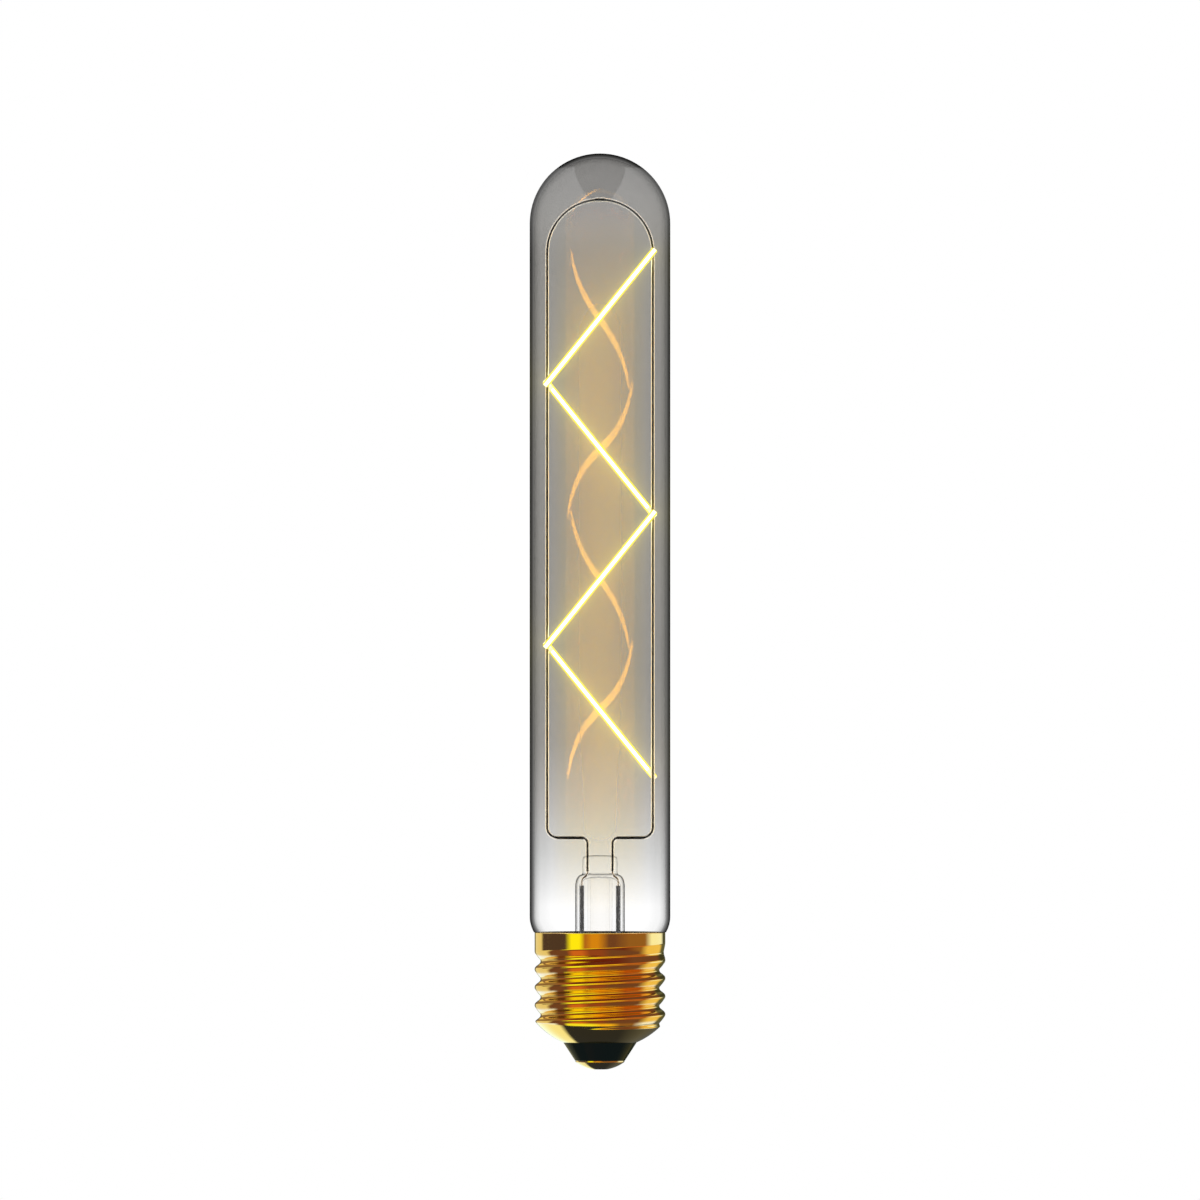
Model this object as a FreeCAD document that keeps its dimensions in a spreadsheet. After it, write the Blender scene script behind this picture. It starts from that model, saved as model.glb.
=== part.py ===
import FreeCAD, Part
import math
import os
import Sketcher
from FreeCAD import Placement, Rotation, Vector

# Tubular light bulb with a smoked glass envelope, a zigzag of four light sticks between two frame
# wires, a pressed glass stem and a 27 mm screw cap that holds the driver. Millimetres. +Z runs up
# the bulb's axis, and the origin is at the tip of the centre contact. The frame wires lie in XZ.

doc = FreeCAD.newDocument("tubular_bulb")
dimensions = doc.addObject("Spreadsheet::Sheet", "Dimensions")


class Size:
    """A length that carries its number and the sheet expression that gives it."""

    def __init__(self, number, text):
        self.number = number
        self.text = text

    def combined(self, other, sign, number):
        text = other.text if isinstance(other, Size) else repr(other)
        return Size(number, f"({self.text} {sign} {text})")

    def __add__(self, other):
        return self.combined(other, "+", self.number + plain(other))

    def __sub__(self, other):
        return self.combined(other, "-", self.number - plain(other))

    def __mul__(self, other):
        return self.combined(other, "*", self.number * plain(other))

    def __truediv__(self, other):
        return self.combined(other, "/", self.number / plain(other))

    def __neg__(self):
        return Size(-self.number, f"(0 - {self.text})")


def plain(value):
    """The plain number of a Size or of a number."""
    return value.number if isinstance(value, Size) else value


def root(size):
    return Size(math.sqrt(size.number), f"sqrt({size.text})")


def square(size):
    return size * size


def dimension(alias, number):
    """Puts one driving dimension in the sheet and gives it back as a Size."""
    row = dimension.rows + 1
    dimension.rows = row
    dimensions.set(f"A{row}", alias)
    dimensions.set(f"B{row}", str(number))
    dimensions.setAlias(f"B{row}", alias)
    return Size(float(number), f"Dimensions.{alias}")


dimension.rows = 0
ZERO = Size(0.0, "0")
STICK_COUNT = 4
SAMPLES_PER_TURN = 24

# Glass envelope and its seat on the cap
overall_length = dimension("overall_length", 185.0)
glass_radius = dimension("glass_radius", 14.2)
glass_wall = dimension("glass_wall", 0.9)
neck_height = dimension("neck_height", 3.1)
neck_overhang = dimension("neck_overhang", 0.15)
neck_curve_radius = dimension("neck_curve_radius", 6.3)
neck_inside_rise = dimension("neck_inside_rise", 4.4)
neck_inside_curve = dimension("neck_inside_curve", 7.8)
tail_length = dimension("tail_length", 7.7)
tail_straight_length = dimension("tail_straight_length", 3.2)
tail_clearance = dimension("tail_clearance", 0.4)

# Screw cap shell, with the 27 mm round thread of a household lamp cap
crest_radius = dimension("crest_radius", 13.2)
thread_pitch = dimension("thread_pitch", 3.629)
thread_depth = dimension("thread_depth", 1.2)
root_flat_width = dimension("root_flat_width", 0.7)
groove_drop = dimension("groove_drop", 11.18)
groove_turns_below = dimension("groove_turns_below", 2.5)
groove_turns_above = dimension("groove_turns_above", 2.25)
groove_fade_turns = dimension("groove_fade_turns", 0.75)
groove_overcut = dimension("groove_overcut", 0.05)
groove_side = dimension("groove_side", 0.4)
groove_lift_clearance = dimension("groove_lift_clearance", 0.18)
shell_sheet = dimension("shell_sheet", 0.3)
collar_depth = dimension("collar_depth", 2.5)
bowl_radius = dimension("bowl_radius", 16.0)
bowl_centre_radius = dimension("bowl_centre_radius", 1.0)
mouth_radius = dimension("mouth_radius", 7.45)

# Black glass insulator and centre contact
contact_radius = dimension("contact_radius", 4.95)
contact_rise = dimension("contact_rise", 1.5)
contact_lip = dimension("contact_lip", 0.25)
contact_flat_radius = dimension("contact_flat_radius", 1.5)
contact_sheet = dimension("contact_sheet", 0.4)
shank_radius = dimension("shank_radius", 1.2)
shank_bore_radius = dimension("shank_bore_radius", 0.6)
shank_flange_width = dimension("shank_flange_width", 0.6)
shank_flange_height = dimension("shank_flange_height", 0.3)
insulator_foot_margin = dimension("insulator_foot_margin", 0.15)
insulator_cone_height = dimension("insulator_cone_height", 3.7)
insulator_rim_rise = dimension("insulator_rim_rise", 2.05)
insulator_dish_depth = dimension("insulator_dish_depth", 2.9)
insulator_rim_radius = dimension("insulator_rim_radius", 9.6)
insulator_dish_radius = dimension("insulator_dish_radius", 5.2)
insulator_floor_radius = dimension("insulator_floor_radius", 3.4)

# Pressed glass stem and exhaust tube
stem_radius = dimension("stem_radius", 5.0)
stem_wall = dimension("stem_wall", 0.8)
stem_reach = dimension("stem_reach", 11.8)
shoulder_drop = dimension("shoulder_drop", 2.3)
shoulder_curve = dimension("shoulder_curve", 1.6)
pinch_step = dimension("pinch_step", 0.28)
pinch_width = dimension("pinch_width", 7.0)
pinch_thickness = dimension("pinch_thickness", 3.6)
pinch_rise = dimension("pinch_rise", 3.7)
pinch_crown = dimension("pinch_crown", 0.8)
pinch_edge_radius = dimension("pinch_edge_radius", 0.9)
exhaust_radius = dimension("exhaust_radius", 2.5)
exhaust_wall = dimension("exhaust_wall", 0.5)
exhaust_seal_depth = dimension("exhaust_seal_depth", 0.5)
exhaust_tip_clearance = dimension("exhaust_tip_clearance", 1.4)
exhaust_tip_length = dimension("exhaust_tip_length", 3.0)
exhaust_tip_radius = dimension("exhaust_tip_radius", 0.6)

# Frame wires, the leads below them and their sleeves
wire_radius = dimension("wire_radius", 0.4)
lead_radius = dimension("lead_radius", 0.225)
rail_clearance = dimension("rail_clearance", 2.62)
apex_clearance = dimension("apex_clearance", 8.42)
crossbar_rise = dimension("crossbar_rise", 3.6)
rail_bend_radius = dimension("rail_bend_radius", 2.1)
drop_bend_radius = dimension("drop_bend_radius", 1.2)
pinch_edge_cover = dimension("pinch_edge_cover", 0.96)
weld_depth = dimension("weld_depth", 3.2)
apex_gap = dimension("apex_gap", 0.4)
apex_sleeve_length = dimension("apex_sleeve_length", 1.9)
apex_sleeve_wall = dimension("apex_sleeve_wall", 0.085)
splay_rise = dimension("splay_rise", 0.3)
splay_length = dimension("splay_length", 1.8)
lead_weld_drop = dimension("lead_weld_drop", 0.6)
sleeve_wall = dimension("sleeve_wall", 0.225)
sleeve_clearance = dimension("sleeve_clearance", 0.09)
sleeve_top_gap = dimension("sleeve_top_gap", 0.3)
sleeve_foot_gap = dimension("sleeve_foot_gap", 1.6)

# Light sticks
lowest_stick_rise = dimension("lowest_stick_rise", 12.5)
top_stick_rise = dimension("top_stick_rise", 0.1)
stick_width = dimension("stick_width", 1.3)
stick_thickness = dimension("stick_thickness", 0.9)
stick_corner_radius = dimension("stick_corner_radius", 0.3)
stick_overrun = dimension("stick_overrun", 0.6)
tab_width = dimension("tab_width", 0.9)
tab_thickness = dimension("tab_thickness", 0.15)
tab_lap = dimension("tab_lap", 2.2)
tab_reach = dimension("tab_reach", 0.15)

# Driver inside the cap
board_margin = dimension("board_margin", 2.2)
board_thickness = dimension("board_thickness", 1.0)
board_clearance = dimension("board_clearance", 4.9)
board_hole_clearance = dimension("board_hole_clearance", 0.075)
lead_tail = dimension("lead_tail", 0.8)
package_clearance = dimension("package_clearance", 2.7)
rectifier_length = dimension("rectifier_length", 4.7)
rectifier_width = dimension("rectifier_width", 3.9)
rectifier_height = dimension("rectifier_height", 2.4)
chip_length = dimension("chip_length", 4.9)
chip_width = dimension("chip_width", 3.9)
chip_height = dimension("chip_height", 1.5)
foot_width = dimension("foot_width", 0.5)
foot_length = dimension("foot_length", 0.9)
foot_thickness = dimension("foot_thickness", 0.2)
capacitor_radius = dimension("capacitor_radius", 2.5)
capacitor_height = dimension("capacitor_height", 5.0)
capacitor_margin = dimension("capacitor_margin", 0.7)
capacitor_clearance = dimension("capacitor_clearance", 0.8)
capacitor_groove = dimension("capacitor_groove", 0.25)
resistor_length = dimension("resistor_length", 3.4)
resistor_radius = dimension("resistor_radius", 0.95)
resistor_waist = dimension("resistor_waist", 0.15)
resistor_cap_length = dimension("resistor_cap_length", 0.7)
chip_resistor_length = dimension("chip_resistor_length", 3.2)
chip_resistor_width = dimension("chip_resistor_width", 1.6)
chip_resistor_height = dimension("chip_resistor_height", 0.6)
chip_resistor_margin = dimension("chip_resistor_margin", 2.7)
neutral_margin = dimension("neutral_margin", 0.9)
neutral_rise = dimension("neutral_rise", 1.6)
neutral_bend_radius = dimension("neutral_bend_radius", 0.8)

# Heights and radii that follow from those sizes, from the contact up
insulator_foot_radius = contact_radius + insulator_foot_margin
insulator_foot_height = contact_rise + contact_lip
mouth_height = insulator_foot_height + insulator_cone_height
bowl_centre_height = mouth_height + root(square(bowl_radius) - square(mouth_radius - bowl_centre_radius))
insulator_rim_height = mouth_height + insulator_rim_rise
insulator_floor_height = insulator_rim_height - insulator_dish_depth
bore_radius = crest_radius - thread_depth - shell_sheet
board_height = insulator_rim_height + board_clearance
board_top_height = board_height + board_thickness
board_radius = bore_radius - board_margin
board_hole_radius = lead_radius + board_hole_clearance
neutral_offset = board_radius - neutral_margin
tail_end_height = board_top_height + capacitor_height + capacitor_clearance + stem_wall
tail_straight_height = tail_end_height + tail_straight_length
tail_radius = bore_radius - tail_clearance
tail_inner_radius = tail_radius - glass_wall
rim_height = tail_end_height + tail_length
groove_height = rim_height - groove_drop
collar_inner_radius = crest_radius - shell_sheet
collar_inside_height = rim_height - collar_depth
collar_step_height = collar_inside_height - (collar_inner_radius - bore_radius)
tail_top_radius = collar_inner_radius - shell_sheet
neck_start_height = rim_height + neck_height
neck_foot_radius = crest_radius + neck_overhang
inner_radius = glass_radius - glass_wall
dome_height = overall_length - glass_radius
stem_top_height = rim_height + stem_reach
stem_inner_radius = stem_radius - stem_wall
shoulder_height = stem_top_height - shoulder_drop
stem_top_radius = pinch_width / 2 + pinch_step
pinch_height = stem_top_height + pinch_rise
pinch_side_height = pinch_height - pinch_crown
exhaust_top_height = stem_top_height - exhaust_seal_depth
drop_offset = pinch_width / 2 - pinch_edge_cover
weld_height = pinch_height - weld_depth
splay_top_height = stem_top_height + splay_rise
splay_bottom_height = splay_top_height - splay_length
lead_weld_height = splay_bottom_height - lead_weld_drop
sleeve_radius = lead_radius + sleeve_wall
sleeve_top_height = lead_weld_height - sleeve_top_gap
lead_offset = stem_inner_radius - sleeve_radius - sleeve_clearance
crossbar_height = pinch_height + crossbar_rise
rail_offset = inner_radius - rail_clearance
arch_height = overall_length - glass_wall - apex_clearance - rail_offset
top_stick_height = arch_height + top_stick_rise
stick_step = (top_stick_height - crossbar_height - lowest_stick_rise) / STICK_COUNT
stick_span = root(square(rail_offset * 2) + square(stick_step))
stick_length = stick_span + stick_overrun * 2
tab_length = tab_lap + tab_reach
tab_setback = wire_radius + tab_thickness / 2
stick_setback = wire_radius + tab_thickness + stick_thickness / 2

doc.recompute()


# Sketch helpers


def new_body(label):
    body = doc.addObject("PartDesign::Body", label)
    body.Label = label
    return body


def origin_plane(body, role):
    return next(item for item in body.Origin.OriginFeatures if item.Role == role)


def new_sketch(body, name, role, lift=ZERO):
    """A sketch on one of the body's own planes, lifted along that plane's normal."""
    sketch = body.newObject("Sketcher::SketchObject", name)
    sketch.AttachmentSupport = (origin_plane(body, role), [""])
    sketch.MapMode = "FlatFace"
    sketch.setExpression(".AttachmentOffset.Base.z", lift.text)
    return sketch


def constrain(sketch, size, *terms):
    index = sketch.addConstraint(Sketcher.Constraint(*terms, size.number))
    sketch.setExpression(f"Constraints[{index}]", size.text)


def pin(sketch, element, end, across, along):
    """Holds one point of an element at two distances from the sketch's origin."""
    for kind, size, axis in (("DistanceX", across, -2), ("DistanceY", along, -1)):
        if size.number == 0:
            sketch.addConstraint(Sketcher.Constraint("PointOnObject", element, end, axis))
        elif size.number < 0:
            constrain(sketch, -size, kind, element, end, -1, 1)
        else:
            constrain(sketch, size, kind, -1, 1, element, end)


def arc_centre(start, finish, radius, turn):
    """Centre of the arc between two points: turn is 1 for a left turn and -1 for a right turn."""
    chord = finish - start
    reach = math.sqrt(max(radius**2 - (chord.Length / 2) ** 2, 0))
    side = Vector(-chord.y, chord.x, 0).normalize()
    return (start + finish) / 2 + side * (reach * turn)


def trace(sketch, start, steps):
    """Draws a line of runs and arcs. A step is (x, y), or (x, y, radius, turn) for an arc."""
    place, first, previous = start, None, None
    for step in steps:
        begin = Vector(place[0].number, place[1].number, 0)
        finish = Vector(step[0].number, step[1].number, 0)
        ends = (1, 2)
        if len(step) == 2:
            element = sketch.addGeometry(Part.LineSegment(begin, finish), False)
        else:
            radius, turn = step[2], step[3]
            centre = arc_centre(begin, finish, radius.number, turn)
            ends = (1, 2) if turn > 0 else (2, 1)
            angles = [math.atan2(point.y - centre.y, point.x - centre.x) for point in (begin, finish)]
            circle = Part.Circle(centre, Vector(0, 0, 1), radius.number)
            arc = Part.ArcOfCircle(circle, *(angles if turn > 0 else reversed(angles)))
            element = sketch.addGeometry(arc, False)
            constrain(sketch, radius, "Radius", element)
        if previous is None:
            first = (element, ends[0])
            pin(sketch, element, ends[0], *place)
        else:
            sketch.addConstraint(Sketcher.Constraint("Coincident", *previous, element, ends[0]))
        previous = (element, ends[1])
        place = step[:2]
        if finish.distanceToPoint(Vector(start[0].number, start[1].number, 0)) < 1e-6:
            sketch.addConstraint(Sketcher.Constraint("Coincident", *previous, *first))
        else:
            pin(sketch, element, ends[1], *place)
    return sketch


def circle_at(sketch, across, along, radius):
    centre = Vector(across.number, along.number, 0)
    element = sketch.addGeometry(Part.Circle(centre, Vector(0, 0, 1), radius.number), False)
    constrain(sketch, radius, "Radius", element)
    pin(sketch, element, 3, across, along)


def rectangle_at(sketch, across, along, length, width):
    """A rectangle with its sides along the sketch's axes, centred on a point."""
    left, right = across - length / 2, across + length / 2
    low, high = along - width / 2, along + width / 2
    corner = (left, low)
    trace(sketch, corner, [(right, low), (right, high), (left, high), corner])


def rounded_rectangle(sketch, length, width, radius):
    """A rectangle about the sketch's origin with four round corners."""
    half_length, half_width = length / 2, width / 2
    run, rise = half_length - radius, half_width - radius
    trace(sketch, (-run, -half_width), [
        (run, -half_width),
        (half_length, -rise, radius, 1),
        (half_length, rise),
        (run, half_width, radius, 1),
        (-run, half_width),
        (-half_length, rise, radius, 1),
        (-half_length, -rise),
        (-run, -half_width, radius, 1),
    ])


def turned(body, name, start, steps):
    """Revolves a half section drawn in the XZ plane about the bulb's axis."""
    sketch = trace(new_sketch(body, f"{name}_section", "XZ_Plane"), start, steps)
    revolution = body.newObject("PartDesign::Revolution", name)
    revolution.Profile = (sketch, [""])
    revolution.ReferenceAxis = (sketch, ["V_Axis"])
    revolution.Angle = 360
    sketch.Visibility = False
    return revolution


def padded(body, name, sketch, length, both_ways=False):
    pad = body.newObject("PartDesign::Pad", name)
    pad.Profile = (sketch, [""])
    pad.setExpression("Length", length.text)
    if both_ways:
        pad.SideType = "Symmetric"
    return pad


def turned_body(label, start, steps):
    body = new_body(label)
    turned(body, f"{label}_turn", start, steps)
    return body


def wire_body(label, radius, start, steps, half_turn=False):
    """A round wire that starts upwards and follows a path in the XZ plane."""
    body = new_body(label)
    path = trace(new_sketch(body, f"{label}_path", "XZ_Plane"), start, steps)
    section = new_sketch(body, f"{label}_section", "XY_Plane", start[1])
    circle_at(section, start[0], ZERO, radius)
    pipe = body.newObject("PartDesign::AdditivePipe", f"{label}_pipe")
    pipe.Profile = (section, [""])
    pipe.Spine = (path, [""])
    if half_turn:
        body.Placement = Placement(Vector(0, 0, 0), Rotation(Vector(0, 0, 1), 180))
    return body


# Screw cap


def bowl_height(radius, inset):
    """Height of the cap's rounded lower wall at a radius, on its outside or inset from it."""
    drop = square(bowl_radius - inset) - square(radius - bowl_centre_radius)
    return bowl_centre_height - root(drop)


bowl_inner_radius = bowl_radius - shell_sheet
inner_share = bowl_inner_radius / bowl_radius
mouth_inner_radius = bowl_centre_radius + (mouth_radius - bowl_centre_radius) * inner_share
mouth_inner_height = bowl_centre_height - (bowl_centre_height - mouth_height) * inner_share


def make_shell_blank():
    """The drawn cup before its thread is rolled in."""
    return turned_body("shell_blank", (mouth_radius, mouth_height), [
        (crest_radius, bowl_height(crest_radius, ZERO), bowl_radius, 1),
        (crest_radius, rim_height),
        (collar_inner_radius, rim_height),
        (collar_inner_radius, collar_inside_height),
        (bore_radius, collar_step_height),
        (bore_radius, bowl_height(bore_radius, shell_sheet)),
        (mouth_inner_radius, mouth_inner_height, bowl_inner_radius, -1),
        (mouth_radius, mouth_height),
    ])


def make_thread_groove():
    """The helical groove that leaves a right-hand thread and lifts out of the metal at its top end."""
    turns = groove_turns_below.number + groove_turns_above.number
    fade_start = turns - groove_fade_turns.number
    lift_out = thread_depth.number + groove_lift_clearance.number
    samples = math.ceil(turns * SAMPLES_PER_TURN)
    points = []
    for sample in range(samples + 1):
        turn = turns * sample / samples
        fade = max(turn - fade_start, 0) / groove_fade_turns.number
        radius = crest_radius.number - thread_depth.number + lift_out * fade**2
        angle = 2 * math.pi * (turn - groove_turns_below.number)
        height = groove_height.number + thread_pitch.number * (turn - groove_turns_below.number)
        points.append(Vector(radius * math.cos(angle), radius * math.sin(angle), height))
    spine = Part.BSplineCurve()
    spine.interpolate(points)

    # Across the groove: a flat root, 45 degree flanks, and upright sides clear of the metal.
    start = points[0]
    outward = Vector(start.x, start.y, 0).normalize()
    opening = thread_depth.number + groove_overcut.number
    clear = opening + groove_side.number
    half_root = root_flat_width.number / 2
    half_top = half_root + opening
    section = [(0, -half_root), (opening, -half_top), (clear, -half_top),
               (clear, half_top), (opening, half_top), (0, half_root), (0, -half_root)]
    corners = [start + outward * out + Vector(0, 0, along) for out, along in section]
    sweep = Part.BRepOffsetAPI.MakePipeShell(Part.Wire([spine.toShape()]))
    sweep.setBiNormalMode(Vector(0, 0, 1))
    sweep.add(Part.makePolygon(corners), False, False)
    sweep.build()
    sweep.makeSolid()
    groove = doc.addObject("Part::Feature", "thread_groove")
    groove.Shape = sweep.shape()
    return groove


def make_screw_shell():
    shell = doc.addObject("Part::Cut", "screw_shell")
    shell.Base = make_shell_blank()
    shell.Tool = make_thread_groove()
    return shell


def make_cap_insulator():
    """Black glass, moulded in the cap's mouth and round the contact's shank."""
    rim_inner_radius = insulator_rim_radius - (insulator_rim_height
                                               - bowl_height(insulator_rim_radius, shell_sheet))
    return turned_body("cap_insulator", (shank_radius, insulator_foot_height), [
        (insulator_foot_radius, insulator_foot_height),
        (mouth_radius, mouth_height),
        (mouth_inner_radius, mouth_inner_height),
        (insulator_rim_radius, bowl_height(insulator_rim_radius, shell_sheet), bowl_inner_radius, 1),
        (rim_inner_radius, insulator_rim_height),
        (insulator_dish_radius, insulator_rim_height),
        (insulator_floor_radius, insulator_floor_height),
        (shank_radius, insulator_floor_height),
        (shank_radius, insulator_foot_height),
    ])


def make_centre_contact():
    """A domed brass plate with a hollow shank, clinched over inside the glass."""
    span = square(contact_radius) - square(contact_flat_radius) + square(contact_rise)
    centre_height = span / (contact_rise * 2)
    dome_radius = root(square(contact_flat_radius) + square(centre_height))
    inner_dome = dome_radius - contact_sheet
    lip_radius = contact_radius - contact_sheet

    def inside_height(radius):
        return centre_height - root(square(inner_dome) - square(radius))

    flange_height = insulator_floor_height + shank_flange_height
    return turned_body("centre_contact", (ZERO, ZERO), [
        (contact_flat_radius, ZERO),
        (contact_radius, contact_rise, dome_radius, 1),
        (contact_radius, insulator_foot_height),
        (lip_radius, insulator_foot_height),
        (lip_radius, inside_height(lip_radius)),
        (shank_radius, inside_height(shank_radius), inner_dome, -1),
        (shank_radius, insulator_floor_height),
        (shank_radius + shank_flange_width, insulator_floor_height),
        (shank_radius + shank_flange_width, flange_height),
        (shank_bore_radius, flange_height),
        (shank_bore_radius, contact_sheet),
        (ZERO, contact_sheet),
        (ZERO, ZERO),
    ])


# Glass


def make_glass_envelope():
    """Blown tube with a round end, necked in to sit on the cap's rim with its tail inside."""
    neck_inner_height = neck_start_height - neck_inside_rise + glass_wall
    neck_inner_radius = tail_top_radius - glass_wall
    return turned_body("glass_envelope", (ZERO, overall_length), [
        (ZERO, overall_length - glass_wall),
        (inner_radius, dome_height, inner_radius, -1),
        (inner_radius, neck_start_height + glass_wall),
        (neck_inner_radius, neck_inner_height, neck_inside_curve, -1),
        (tail_inner_radius, tail_straight_height),
        (tail_inner_radius, tail_end_height),
        (tail_radius, tail_end_height),
        (tail_radius, tail_straight_height),
        (tail_top_radius, rim_height),
        (neck_foot_radius, rim_height),
        (glass_radius, neck_start_height, neck_curve_radius, 1),
        (glass_radius, dome_height),
        (ZERO, overall_length, glass_radius, 1),
    ])


def make_capping_cement():
    """The ring of cement that fills the cap's collar round the glass."""
    return turned_body("capping_cement", (tail_radius, tail_straight_height), [
        (bore_radius, tail_straight_height),
        (bore_radius, collar_step_height),
        (collar_inner_radius, collar_inside_height),
        (collar_inner_radius, rim_height),
        (tail_top_radius, rim_height),
        (tail_radius, tail_straight_height),
    ])


def make_stem_glass(wires):
    """Flared tube, pressed flat at its top and sealed round the wires."""
    body = new_body("stem_blank")
    flare_radius = tail_inner_radius - stem_radius
    flare_centre_height = tail_end_height + flare_radius
    turned(body, "stem_turn", (exhaust_radius, exhaust_top_height), [
        (exhaust_radius, stem_top_height - stem_wall),
        (stem_inner_radius, shoulder_height),
        (stem_inner_radius, flare_centre_height),
        (tail_inner_radius, tail_end_height - stem_wall, flare_radius + stem_wall, 1),
        (tail_radius, tail_end_height - stem_wall),
        (tail_radius, tail_end_height),
        (tail_inner_radius, tail_end_height),
        (stem_radius, flare_centre_height, flare_radius, -1),
        (stem_radius, shoulder_height),
        (stem_top_radius, stem_top_height - stem_wall / 2, shoulder_curve, 1),
        (stem_top_radius, stem_top_height),
        (ZERO, stem_top_height),
        (ZERO, exhaust_top_height),
        (exhaust_radius, exhaust_top_height),
    ])
    plan = new_sketch(body, "pinch_plan", "XY_Plane", exhaust_top_height)
    rounded_rectangle(plan, pinch_width, pinch_thickness, pinch_edge_radius)
    padded(body, "pinch", plan, pinch_height - exhaust_top_height)
    half_width = pinch_width / 2
    crown_radius = (square(half_width) + square(pinch_crown)) / (pinch_crown * 2)
    clear_height = pinch_height + pinch_crown
    above = trace(new_sketch(body, "above_crown", "XZ_Plane"), (half_width, pinch_side_height), [
        (half_width, clear_height),
        (-half_width, clear_height),
        (-half_width, pinch_side_height),
        (half_width, pinch_side_height, crown_radius, -1),
    ])
    crowning = body.newObject("PartDesign::Pocket", "pinch_crown")
    crowning.Profile = (above, [""])
    crowning.SideType = "Symmetric"
    crowning.setExpression("Length", pinch_thickness.text)

    sealed = doc.addObject("Part::MultiFuse", "sealed_wires")
    sealed.Shapes = wires
    stem = doc.addObject("Part::Cut", "stem_glass")
    stem.Base = body
    stem.Tool = sealed
    return stem


def make_exhaust_tube():
    """The thin tube through which the bulb was pumped out, melted shut inside the cap."""
    bore = exhaust_radius - exhaust_wall
    exhaust_tip_height = board_top_height + exhaust_tip_clearance
    taper_height = exhaust_tip_height + exhaust_tip_length
    return turned_body("exhaust_tube", (ZERO, exhaust_tip_height), [
        (exhaust_tip_radius, exhaust_tip_height),
        (exhaust_radius, taper_height),
        (exhaust_radius, exhaust_top_height),
        (bore, exhaust_top_height),
        (bore, taper_height),
        (ZERO, exhaust_tip_height + exhaust_wall * 2),
        (ZERO, exhaust_tip_height),
    ])


# Wires


def make_frame_wire(side, half_turn):
    """Half of the frame: up from the pinch, out, up the side, and over to the apex."""
    arch_end_drop = rail_offset - root(square(rail_offset) - square(apex_gap / 2))
    return wire_body(f"frame_wire_{side}", wire_radius, (drop_offset, weld_height), [
        (drop_offset, crossbar_height - drop_bend_radius),
        (drop_offset + drop_bend_radius, crossbar_height, drop_bend_radius, -1),
        (rail_offset - rail_bend_radius, crossbar_height),
        (rail_offset, crossbar_height + rail_bend_radius, rail_bend_radius, 1),
        (rail_offset, arch_height),
        (apex_gap / 2, arch_height + rail_offset - arch_end_drop, rail_offset, 1),
    ], half_turn)


def make_apex_insulator(wires):
    """A slim glass sleeve that joins the two frame wires at the top and keeps them apart."""
    glass = cylinder_object("apex_glass", wire_radius + apex_sleeve_wall, apex_sleeve_length)
    left_end = Vector(-apex_sleeve_length.number / 2, 0, arch_height.number + rail_offset.number)
    glass.Placement = Placement(left_end, Rotation(Vector(0, 1, 0), 90))
    joined = doc.addObject("Part::MultiFuse", "apex_wires")
    joined.Shapes = wires
    sleeve = doc.addObject("Part::Cut", "apex_insulator")
    sleeve.Base = glass
    sleeve.Tool = joined
    return sleeve


def make_seal_wire(side, half_turn):
    """The wire sealed in the pinch, which spreads outwards below it."""
    middle = (drop_offset + lead_offset) / 2
    spread = lead_offset - drop_offset
    bend_radius = (square(splay_length) + square(spread)) / (spread * 4)
    return wire_body(f"seal_wire_{side}", lead_radius, (lead_offset, lead_weld_height), [
        (lead_offset, splay_bottom_height),
        (middle, splay_bottom_height + splay_length / 2, bend_radius, 1),
        (drop_offset, splay_top_height, bend_radius, -1),
        (drop_offset, weld_height),
    ], half_turn)


def cylinder_object(label, radius, length):
    cylinder = doc.addObject("Part::Cylinder", label)
    cylinder.setExpression("Radius", radius.text)
    cylinder.setExpression("Height", length.text)
    return cylinder


def make_outer_lead(side, direction):
    """The straight lead from the seal wire down through the driver board."""
    low = board_height - lead_tail
    lead = cylinder_object(f"outer_lead_{side}", lead_radius, lead_weld_height - low)
    lead.Placement.Base = Vector(direction * lead_offset.number, 0, low.number)
    return lead


def make_lead_sleeve(side, direction):
    sleeve_bottom_height = board_top_height + sleeve_foot_gap
    length = sleeve_top_height - sleeve_bottom_height
    sleeve = doc.addObject("Part::Cut", f"lead_sleeve_{side}")
    sleeve.Base = cylinder_object(f"sleeve_outside_{side}", sleeve_radius, length)
    sleeve.Tool = cylinder_object(f"sleeve_bore_{side}", lead_radius, length)
    sleeve.Placement.Base = Vector(direction * lead_offset.number, 0, sleeve_bottom_height.number)
    return sleeve


def make_neutral_lead():
    """From the driver board's edge up and out to the cap's side wall."""
    low = board_height - lead_tail
    turn_height = board_top_height + neutral_rise
    wall_reach = root(square(bore_radius) - square(lead_radius))
    return wire_body("neutral_lead", lead_radius, (neutral_offset, low), [
        (neutral_offset, turn_height),
        (neutral_offset + neutral_bend_radius, turn_height + neutral_bend_radius,
         neutral_bend_radius, -1),
        (wall_reach, turn_height + neutral_bend_radius),
    ])


# Light sticks


def stick_frame(index, setback):
    """Centre, lean and side of a stick: it lies in front of the frame or behind it, by turns."""
    middle = top_stick_height.number - stick_step.number * (index - 0.5)
    lean = math.degrees(math.atan2(2 * rail_offset.number, stick_step.number))
    side = 1 if index % 2 else -1
    centre = Vector(0, -side * setback.number, middle)
    return Placement(centre, Rotation(Vector(0, 1, 0), side * lean))


def make_filament(index):
    """A ceramic strip of small emitters under a cast coat of phosphor, lit all along."""
    body = new_body(f"filament_{index}")
    section = new_sketch(body, f"stick_section_{index}", "XY_Plane")
    rounded_rectangle(section, stick_width, stick_thickness, stick_corner_radius)
    padded(body, f"stick_{index}", section, stick_length, both_ways=True)
    body.Placement = stick_frame(index, stick_setback)
    return body


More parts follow.
